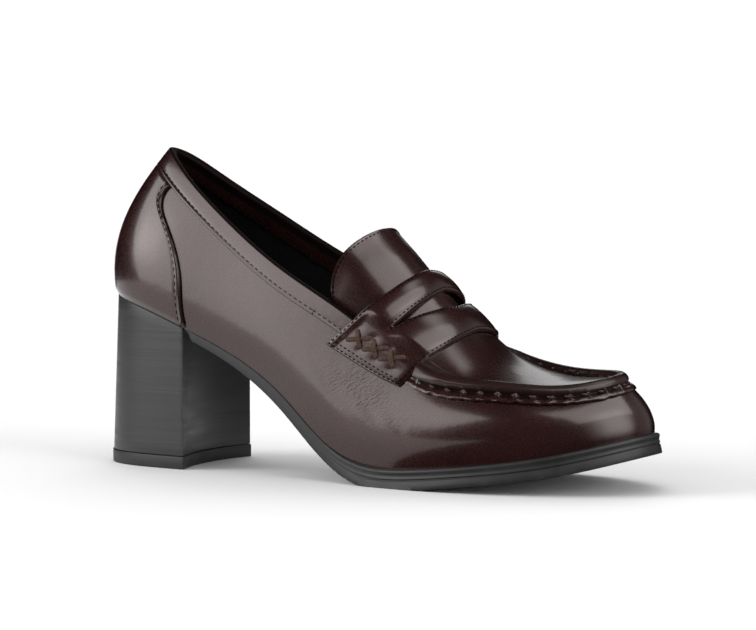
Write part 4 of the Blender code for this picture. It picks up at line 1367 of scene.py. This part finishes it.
def strap_line(shares, place_at):
    """A sewn line on the strap, from a place for each girth share."""
    slot = slot_width(np.abs(STRAP_SHARES))
    points, normals = [], []
    for share in shares:
        place = place_at(abs(share))
        j = int(np.clip(round((share + 1) / 2 * STRAP_COLUMNS), 0, STRAP_COLUMNS))
        band = int(place > SLOT_MIDDLE)
        height = strap_height(np.full((1, len(STRAP_SHARES)), place), band, slot)[0][0, j]
        point, normal = strap_spot(place, share, height + UNDERSIDE)
        points.append(point)
        normals.append(normal)
    return np.array(points), np.array(normals)


def strap_stitches():
    """Sewn lines inside every edge of the strap, with a second row along each tab's end."""
    inset = STRAP_INSET / PLACE_TO_LENGTH
    mean_girth = HALF_GIRTHS.mean()
    reach = 1 - STRAP_INSET / mean_girth
    shares = np.linspace(-reach, reach, STRAP_LINE_STEPS)
    slot_reach = SLOT_END + STRAP_INSET / mean_girth
    slot_shares = np.linspace(-slot_reach, slot_reach, SLOT_LINE_STEPS)

    def slot_line(way):
        def place_at(size):
            ending = np.sqrt(np.clip((slot_reach - size) / (slot_reach - SLOT_END), 0, 1))
            return SLOT_MIDDLE + way * (float(slot_width(size)) / 2 + inset * min(1.0, float(ending)))
        return place_at

    lines = [
        strap_line(shares, lambda size: float(strap_upper(size)) + inset),
        strap_line(shares, lambda size: float(strap_lower(size)) - inset),
        strap_line(slot_shares, slot_line(-1)),
        strap_line(slot_shares, slot_line(1)),
    ]
    for side in (-1, 1):
        for depth in (STRAP_INSET, STRAP_INSET + TAB_SECOND_ROW):
            share = side * (1 - depth / half_girth(SLOT_MIDDLE, -side))
            low = float(strap_upper(abs(share))) + inset
            high = float(strap_lower(abs(share))) - inset
            points, normals = [], []
            for place in np.linspace(low, high, TAB_LINE_STEPS):
                point, normal = strap_line([share], lambda size, p=place: p)
                points.append(point[0])
                normals.append(normal[0])
            lines.append((np.array(points), np.array(normals)))
    return lines


def thong_strand(side, first, last, over):
    """One leg of a cross, from hole to hole on a tab, as a flat tube."""
    points, normals = [], []
    for t in np.linspace(0, 1, THONG_STEPS):
        place = first[0] + (last[0] - first[0]) * t
        from_end = first[1] + (last[1] - first[1]) * t
        share = -side * (1 - from_end / half_girth(place, side))
        crossing = (THONG_CROSSING if over else 0.0) * bell(t - 0.5, THONG_CROSSING_REACH)
        sink = THONG_SINK * (bell(t, THONG_SINK_REACH) + bell(t - 1, THONG_SINK_REACH))
        height = STRAP + STRAP_LIFT + THONG_LIFT + crossing - sink
        point, normal = strap_spot(place, share, height)
        points.append(point)
        normals.append(normal)
    points, normals = np.array(points), np.array(normals)
    forward = unit(np.gradient(points, axis=0))
    across = unit(np.cross(normals, forward))
    above = np.cross(forward, across)
    angles = np.linspace(0, 2 * np.pi, THONG_ROUND, endpoint=False)
    ring = (np.cos(angles)[None, :, None] * across[:, None] * THONG_WIDTH / 2
            + np.sin(angles)[None, :, None] * above[:, None] * THONG_THICKNESS / 2)
    return points[:, None] + ring


def build_thongs(name, side):
    """Row of crosses: three legs lie under, three cross over them, sharing their holes."""
    holes = thong_holes()
    points, faces = [], []
    for i in range(THONG_CROSSES):
        for ends, over in ((("low", "top"), False), (("top", "low"), True)):
            tube = thong_strand(side, holes[ends[0]][i], holes[ends[1]][i + 1], over)
            start = len(points)
            points.extend(tube.reshape(-1, 3))
            faces += [[start + k for k in face] for face in tube_faces(*tube.shape[:2])]
    piece = make_piece(name + "_thongs", points, faces, (THONG,))
    return set_on_shoe(piece, "brown_thong", name)


# Sole, heel and insole
def sole_thickness(x):
    ahead = smooth_step((x - BREAST - BREAST_MARGIN) / WAIST_STEP)
    return SEAT_LAYER + (waist_thickness(x) - SEAT_LAYER) * ahead


def build_outsole():
    step = turn_at(BREAST + BREAST_MARGIN + WAIST_STEP * np.linspace(0, 1, WAIST_COLUMNS))
    half = np.union1d(np.linspace(0, 0.5, SOLE_COLUMNS // 2 + 1), step)
    turns = np.concatenate((half, 1 - half[-2:0:-1]))
    line = feather_line(turns)
    away = outward(turns, feather_line)
    rand = smooth_step((line[:, 0] - RAND_START) / (RAND_FULL - RAND_START))
    depth = sole_thickness(line[:, 0])
    seat = smooth_step((line[:, 0] - BREAST - BREAST_MARGIN) / WAIST_STEP)
    rings = []
    for forepart, waist, share in SOLE_PROFILE:
        out = rand * forepart + (1 - rand) * waist - (1 - seat) * SEAT_INSET
        ring = line + away * out[:, None]
        ring[:, 2] = np.maximum(line[:, 2] - share * depth, 0.0)
        rings.append(ring)
    faces = capped_faces(len(rings), len(turns))
    points = np.concatenate(rings)
    piece = make_piece("unit_outsole", points, faces, (RUBBER,), crease_angle=SOLE_CREASE_ANGLE)
    return set_on_shoe(piece, "black_rubber", "outsole")


def heel_ring(share):
    """D-shaped outline of the heel: share 0 under the seat, 1 at the floor."""
    turns = turn_at(BREAST) * np.linspace(-1, 1, HEEL_COLUMNS)
    top = feather_line(turns)
    corner = top[0, 0]
    side = top.copy()
    side[:, 0] -= share * HEEL_FLARE * (corner - top[:, 0]) / corner
    k = np.linspace(0, 1, BREAST_COLUMNS)[1:-1, None]
    breast = side[-1] + (side[0] - side[-1]) * k - np.array((BREAST_HOLLOW, 0, 0)) * 4 * k * (1 - k)
    return np.concatenate((side, breast))


def heel_solid(name, rings, material, softness):
    """Stacked rings closed at both ends, with soft edges."""
    faces = tube_faces(len(rings), len(rings[0]))
    piece = make_piece(name, np.concatenate(rings), faces, (material,))
    soften = piece.modifiers.new("soft_edges", "BEVEL")
    soften.width = softness * MM
    soften.segments = HEEL_EDGE_SEGMENTS
    soften.limit_method = "ANGLE"
    soften.angle_limit = np.radians(HEEL_CREASE_ANGLE)
    piece = finished(piece)
    piece.data.shade_smooth()
    piece.data.set_sharp_from_angle(angle=np.radians(HEEL_CREASE_ANGLE))
    return piece


def build_heel():
    rings = []
    for share in np.linspace(0, 1, HEEL_RINGS):
        ring = heel_ring(share)
        roof = seat_height(ring[:, 0]) - HEEL_ROOF_GAP
        ring[:, 2] = roof + (TOP_PIECE + LIFT_GAP - roof) * share
        rings.append(ring)
    block = heel_solid("stacked_heel_block", rings, STACK, HEEL_SOFTNESS)
    set_on_shoe(block, "stacked_heel", "heel_block")
    middle = heel_ring(1.0)[:, :2].mean(axis=0)
    rings = []
    for height in (0.0, TOP_PIECE - LIFT_GAP):
        ring = heel_ring(1.0)
        away = ring[:, :2] - middle
        ring[:, :2] += unit(away) * TOP_PIECE_LIP
        ring[:, 2] = height
        rings.append(ring)
    top_piece = heel_solid("heel_wearing_piece", rings, RUBBER, HEEL_SOFTNESS)
    return set_on_shoe(top_piece, "black_rubber", "heel_top_piece")


def build_insole():
    """Padded sock: a low cushion with a rounded edge."""
    turns = np.arange(INSOLE_COLUMNS) / INSOLE_COLUMNS
    away = outward(turns, feather_line)
    line = feather_line(turns) - away * (WALL + SEAT_GAP)
    inner = line - away * INSOLE_ROUNDING
    rings = [line + (0, 0, GAP), line + (0, 0, GAP + INSOLE * INSOLE_SIDE), inner + (0, 0, GAP + INSOLE)]
    faces = capped_faces(len(rings), INSOLE_COLUMNS)
    piece = make_piece("insole_sock", np.concatenate(rings), faces, (LINING,))
    return set_on_shoe(piece, "black_sock", "insole")


# Stitches, laid along sewn lines by geometry nodes
def stitch_tree():
    """Thread stitches at an even pitch along each line, turned to the line and to the leather under it."""
    tree = bpy.data.node_groups.new("thread_stitches", "GeometryNodeTree")
    sockets = tree.interface
    sockets.new_socket("Sewn Lines", in_out="INPUT", socket_type="NodeSocketGeometry")
    for name in ("Pitch", "Stitch Length", "Thread Radius", "Turn"):
        sockets.new_socket(name, in_out="INPUT", socket_type="NodeSocketFloat")
    sockets.new_socket("Thread", in_out="INPUT", socket_type="NodeSocketMaterial")
    sockets.new_socket("Stitches", in_out="OUTPUT", socket_type="NodeSocketGeometry")
    nodes, links = tree.nodes, tree.links
    given = nodes.new("NodeGroupInput").outputs
    result = nodes.new("NodeGroupOutput")
    curve = nodes.new("GeometryNodeMeshToCurve")
    spaced = nodes.new("GeometryNodeResampleCurve")
    spaced.mode = "LENGTH"
    tangent = nodes.new("GeometryNodeInputTangent")
    facing = nodes.new("GeometryNodeInputNamedAttribute")
    facing.data_type = "FLOAT_VECTOR"
    facing.inputs["Name"].default_value = "facing"
    lie_along = nodes.new("FunctionNodeAlignRotationToVector")
    lie_along.axis = "X"
    face_out = nodes.new("FunctionNodeAlignRotationToVector")
    face_out.axis = "Z"
    face_out.pivot_axis = "X"
    turned = nodes.new("FunctionNodeRotateRotation")
    turned.rotation_space = "LOCAL"
    turn = nodes.new("FunctionNodeAxisAngleToRotation")
    turn.inputs["Axis"].default_value = (0, 0, 1)
    ball = nodes.new("GeometryNodeMeshUVSphere")
    ball.inputs["Segments"].default_value = THREAD_SEGMENTS
    ball.inputs["Rings"].default_value = THREAD_RINGS
    ball.inputs["Radius"].default_value = 1.0
    half = nodes.new("ShaderNodeMath")
    half.operation = "MULTIPLY"
    half.inputs[1].default_value = 0.5
    size = nodes.new("ShaderNodeCombineXYZ")
    stitch = nodes.new("GeometryNodeTransform")
    placed = nodes.new("GeometryNodeInstanceOnPoints")
    real = nodes.new("GeometryNodeRealizeInstances")
    rounded = nodes.new("GeometryNodeSetShadeSmooth")
    coloured = nodes.new("GeometryNodeSetMaterial")
    joined = (
        (given["Sewn Lines"], curve.inputs["Mesh"]),
        (curve.outputs["Curve"], spaced.inputs["Curve"]),
        (given["Pitch"], spaced.inputs["Length"]),
        (tangent.outputs["Tangent"], lie_along.inputs["Vector"]),
        (lie_along.outputs["Rotation"], face_out.inputs["Rotation"]),
        (facing.outputs["Attribute"], face_out.inputs["Vector"]),
        (face_out.outputs["Rotation"], turned.inputs["Rotation"]),
        (given["Turn"], turn.inputs["Angle"]),
        (turn.outputs["Rotation"], turned.inputs["Rotate By"]),
        (given["Stitch Length"], half.inputs[0]),
        (half.outputs["Value"], size.inputs["X"]),
        (given["Thread Radius"], size.inputs["Y"]),
        (given["Thread Radius"], size.inputs["Z"]),
        (ball.outputs["Mesh"], stitch.inputs["Geometry"]),
        (size.outputs["Vector"], stitch.inputs["Scale"]),
        (spaced.outputs["Curve"], placed.inputs["Points"]),
        (stitch.outputs["Geometry"], placed.inputs["Instance"]),
        (turned.outputs["Rotation"], placed.inputs["Rotation"]),
        (placed.outputs["Instances"], real.inputs["Geometry"]),
        (real.outputs["Geometry"], rounded.inputs["Geometry"]),
        (rounded.outputs["Geometry"], coloured.inputs["Geometry"]),
        (given["Thread"], coloured.inputs["Material"]),
        (coloured.outputs["Geometry"], result.inputs["Stitches"]),
    )
    for start, end in joined:
        links.new(start, end)
    return tree


STITCHES = stitch_tree()


def sew(name, lines, slot, thread, pitch=STITCH_PITCH, length=STITCH_LENGTH, radius=STITCH_RADIUS,
        turn=0.0):
    """Stitches along sewn lines; each line is its points and the normals of the leather there."""
    points, facing, edges = [], [], []
    for line, normals in lines:
        start = len(points)
        points.extend(line)
        facing.extend(normals)
        edges += [(start + i, start + i + 1) for i in range(len(line) - 1)]
    mesh = bpy.data.meshes.new(name)
    mesh.from_pydata(in_frame(points).tolist(), edges, [])
    normals = mesh.attributes.new("facing", "FLOAT_VECTOR", "POINT")
    normals.data.foreach_set("vector", np.array(facing, np.float32).ravel())
    piece = add_object(name, mesh)
    sewing = piece.modifiers.new("stitches", "NODES")
    sewing.node_group = STITCHES
    values = {"Pitch": pitch * MM, "Stitch Length": length * MM, "Thread Radius": radius * MM,
              "Turn": turn, "Thread": thread}
    for item in STITCHES.interface.items_tree:
        if item.name in values:
            sewing[item.identifier] = values[item.name]
    return set_on_shoe(finished(piece), slot)


def seam_stitch_line():
    """Line of the hand-sewn stitches in the groove under the roll."""
    turns, lengths = seam_columns()
    whole = np.arange(1, int(lengths[-1] / SEAM_PITCH)) * SEAM_PITCH
    inside = whole[(whole > SEAM_GROWTH / 2) & (whole < lengths[-1] - SEAM_GROWTH / 2)]
    places = np.interp(inside, lengths, turns)
    bed, normal = seam_bed(places, np.full((len(places), 1), SEAM_THREAD_DEPTH))
    lift = np.interp(inside, lengths, seam_growth(turns, lengths))
    return bed[:, 0] + normal[:, 0] * (SEAM_THREAD_LIFT * lift)[:, None], normal[:, 0]


# Camera, light and floor
CAMERA_AZIMUTH = np.radians(28.6)
CAMERA_ELEVATION = np.radians(4.0)
CAMERA_DISTANCE = 1100.0
CAMERA_TARGET = (116.2, 0.0, 60.7)
PIXELS_PER_MM = 2.63
PICTURE_WIDTH = 756
SENSOR = 36.0
NEAREST = 0.01
STRAIGHT_UP = 0.999
STAGE_SHEETS = (
    # name, left, near, right and far edges, height, in metres
    ("floor", (-6.0, -6.0, 6.0, 6.0), 0.0),
    ("reflector_card", (-0.75, -0.65, 0.015, 0.30), 0.0001),
)


def towards(azimuth, elevation):
    """Direction from the shoe to a viewer at an azimuth from the lateral side and an elevation."""
    a, e = azimuth, elevation
    return np.array((np.sin(a) * np.cos(e), -np.cos(a) * np.cos(e), np.sin(e)))


def facing_matrix(place, target):
    """Matrix of an object at a place whose -Z axis points at a target."""
    back = unit(np.asarray(place, float) - np.asarray(target, float))
    level = abs(back[2]) < STRAIGHT_UP
    right = unit(np.cross((0.0, 0.0, 1.0), back)) if level else np.array((1.0, 0.0, 0.0))
    up = np.cross(back, right)
    matrix = np.eye(4)
    matrix[:3, 0], matrix[:3, 1], matrix[:3, 2], matrix[:3, 3] = right, up, back, place
    return Matrix(matrix.tolist())


def set_camera():
    target = in_frame(CAMERA_TARGET)[0]
    place = target + towards(CAMERA_AZIMUTH, CAMERA_ELEVATION) * CAMERA_DISTANCE * MM
    lens = bpy.data.cameras.new("camera")
    lens.sensor_width = SENSOR
    lens.sensor_fit = "HORIZONTAL"
    lens.lens = SENSOR * PIXELS_PER_MM * CAMERA_DISTANCE / PICTURE_WIDTH
    lens.clip_start = NEAREST
    camera = add_object("camera", lens)
    camera.matrix_world = facing_matrix(place, target)
    bpy.context.scene.camera = camera


SOFTBOXES = (
    # name, azimuth and elevation in degrees, distance, half width and half height in metres,
    # growth of the half width and sideways lean with height, soft edge in metres, brightness
    ("left_softbox", -47.2, 15.5, 1.6, 0.675, 0.74, 0.66, 0.01, 0.07, 1.95),
    ("left_key", -54.0, 18.0, 1.5, 0.32, 0.25, 0.0, 0.0, 0.20, 1.4),
    ("right_softbox", 80.0, 52.0, 1.5, 0.97, 0.43, 0.0, 0.0, 0.08, 1.65),
    ("right_low", 80.0, 20.0, 1.5, 0.58, 0.62, 0.0, 0.0, 0.45, 1.95),
    ("plug_card", 140.0, 68.0, 1.5, 0.30, 0.22, 0.0, 0.0, 0.20, 1.2),
    ("right_wrap", 137.0, 14.0, 1.5, 0.75, 0.65, 0.0, 0.0, 0.30, 0.16),
    ("heel_edge_card", -140.0, -4.0, 1.5, 0.35, 0.15, 0.0, 0.0, 0.08, 1.2),
    ("back_card", -157.0, 20.0, 1.5, 0.27, 0.22, 0.0, 0.0, 0.06, 0.7),
)
SUNS = (
    # name, azimuth, elevation and spread in degrees, strength
    ("back_sun", -150.0, 50.0, 38.0, 1.2),
    ("left_sun", -58.0, 21.0, 35.0, 3.0),
    ("right_sun", 80.0, 19.0, 35.0, 2.0),
)
LAMP_POWER = 4.0
SKY_STRENGTH = 1.05
FLOOR_TONE = 0.55
CARD_TONE = 0.50
FLOOR_ROUGHNESS = 0.9


def shape_softbox(lamp, half_width, half_height, growth, lean, edge):
    """Cuts a rectangle lamp to a soft-edged shape that can widen and lean with its height."""
    lamp.shape = "RECTANGLE"
    lamp.size = 2 * (half_width + edge + (abs(growth) + abs(lean)) * half_height)
    lamp.size_y = 2 * (half_height + edge)
    lamp.use_nodes = True
    nodes, links = lamp.node_tree.nodes, lamp.node_tree.links

    def sum_of(value, factor, start):
        """The value times a factor, added to a start, which may be another value."""
        node = nodes.new("ShaderNodeMath")
        node.operation = "MULTIPLY_ADD"
        links.new(value, node.inputs[0])
        node.inputs[1].default_value = factor
        if isinstance(start, float):
            node.inputs[2].default_value = start
        else:
            links.new(start, node.inputs[2])
        return node.outputs["Value"]

    def distance(value):
        node = nodes.new("ShaderNodeMath")
        node.operation = "ABSOLUTE"
        links.new(value, node.inputs[0])
        return node.outputs["Value"]

    def fade(beyond):
        node = nodes.new("ShaderNodeMapRange")
        node.interpolation_type = "SMOOTHSTEP"
        node.inputs["From Min"].default_value = -edge
        node.inputs["From Max"].default_value = edge
        node.inputs["To Min"].default_value = 1.0
        node.inputs["To Max"].default_value = 0.0
        links.new(beyond, node.inputs["Value"])
        return node.outputs["Result"]

    place = nodes.new("ShaderNodeSeparateXYZ")
    links.new(nodes.new("ShaderNodeNewGeometry").outputs["Parametric"], place.inputs["Vector"])
    up = sum_of(place.outputs["Y"], lamp.size_y, -lamp.size_y / 2)
    level = sum_of(place.outputs["X"], lamp.size, -lamp.size / 2)
    across = distance(sum_of(up, -lean, level))
    beyond_side = sum_of(up, -growth, sum_of(across, 1.0, -half_width))
    beyond_top = sum_of(distance(up), 1.0, -half_height)
    both = nodes.new("ShaderNodeMath")
    both.operation = "MULTIPLY"
    links.new(fade(beyond_side), both.inputs[0])
    links.new(fade(beyond_top), both.inputs[1])
    links.new(both.outputs["Value"], nodes["Emission"].inputs["Strength"])


def add_lamp(lamp, place, target):
    box = add_object(lamp.name, lamp)
    box.matrix_world = facing_matrix(place, target)
    return box


def set_light():
    """Softboxes that show in the polish alone, and soft suns with an even sky for the rest."""
    middle = in_frame(CAMERA_TARGET)[0]
    for name, azimuth, elevation, distance, *shape, brightness in SOFTBOXES:
        lamp = bpy.data.lights.new(name, "AREA")
        shape_softbox(lamp, *shape)
        lamp.energy = LAMP_POWER * lamp.size * lamp.size_y * brightness
        place = middle + towards(np.radians(azimuth), np.radians(elevation)) * distance
        box = add_lamp(lamp, place, middle)
        box.visible_camera = False
        box.visible_diffuse = False
    for name, azimuth, elevation, spread_angle, strength in SUNS:
        sun = bpy.data.lights.new(name, "SUN")
        sun.angle = np.radians(spread_angle)
        sun.energy = strength
        place = middle + towards(np.radians(azimuth), np.radians(elevation))
        add_lamp(sun, place, middle).visible_glossy = False
    world = bpy.data.worlds.new("studio")
    world.use_nodes = True
    sky = world.node_tree.nodes["Background"]
    sky.inputs["Color"].default_value = (1.0, 1.0, 1.0, 1.0)
    sky.inputs["Strength"].default_value = SKY_STRENGTH
    bpy.context.scene.world = world
    world.cycles_visibility.glossy = False
    bpy.context.scene.view_settings.view_transform = "Standard"


def stage_paper(name, tone):
    """Dull grey paper of one tone."""
    material = bpy.data.materials.new(name)
    material.use_nodes = True
    shader = material.node_tree.nodes["Principled BSDF"]
    shader.inputs["Base Color"].default_value = (tone, tone, tone, 1.0)
    shader.inputs["Roughness"].default_value = FLOOR_ROUGHNESS
    shader.inputs["Specular IOR Level"].default_value = 0.0
    return material


def set_floor():
    """Pale floor, kept out of the polish, and a grey card on it that shows in the polish alone."""
    floor_paper, card_paper = stage_paper("pale_floor", FLOOR_TONE), stage_paper("grey_card", CARD_TONE)
    for name, (left, near, right, far), height in STAGE_SHEETS:
        mesh = bpy.data.meshes.new(name)
        corners = ((left, near), (right, near), (right, far), (left, far))
        mesh.from_pydata([(x, y, height) for x, y in corners], [], [(0, 1, 2, 3)])
        is_card = name == "reflector_card"
        mesh.materials.append(card_paper if is_card else floor_paper)
        sheet = add_object(name, mesh)
        sheet.visible_glossy = is_card
        sheet.visible_camera = not is_card
        sheet.visible_diffuse = not is_card
        sheet.visible_shadow = not is_card


def main():
    set_camera()
    set_light()
    set_floor()
    build_upper()
    build_apron()
    build_apron_seam()
    build_outsole()
    build_heel()
    build_insole()
    _, counter_lines = build_counter()
    _, binding_lines = build_binding()
    _, tongue_lines = build_tongue()
    _, strap_lines = build_strap()
    build_thongs("lateral_tab_lacing", 1)
    build_thongs("medial_tab_lacing", -1)
    sew("collar_and_counter_stitching", counter_lines + binding_lines, "burgundy_leather", THREAD,
        COLLAR_PITCH, COLLAR_STITCH, COLLAR_THREAD)
    sew("strap_and_tongue_stitching", tongue_lines + strap_lines, "burgundy_leather", THREAD)
    sew("apron_hand_stitching", [seam_stitch_line()], "brown_thong", SEAM_THREAD,
        SEAM_PITCH, SEAM_STITCH, SEAM_THREAD_RADIUS, SEAM_STITCH_TURN)


main()
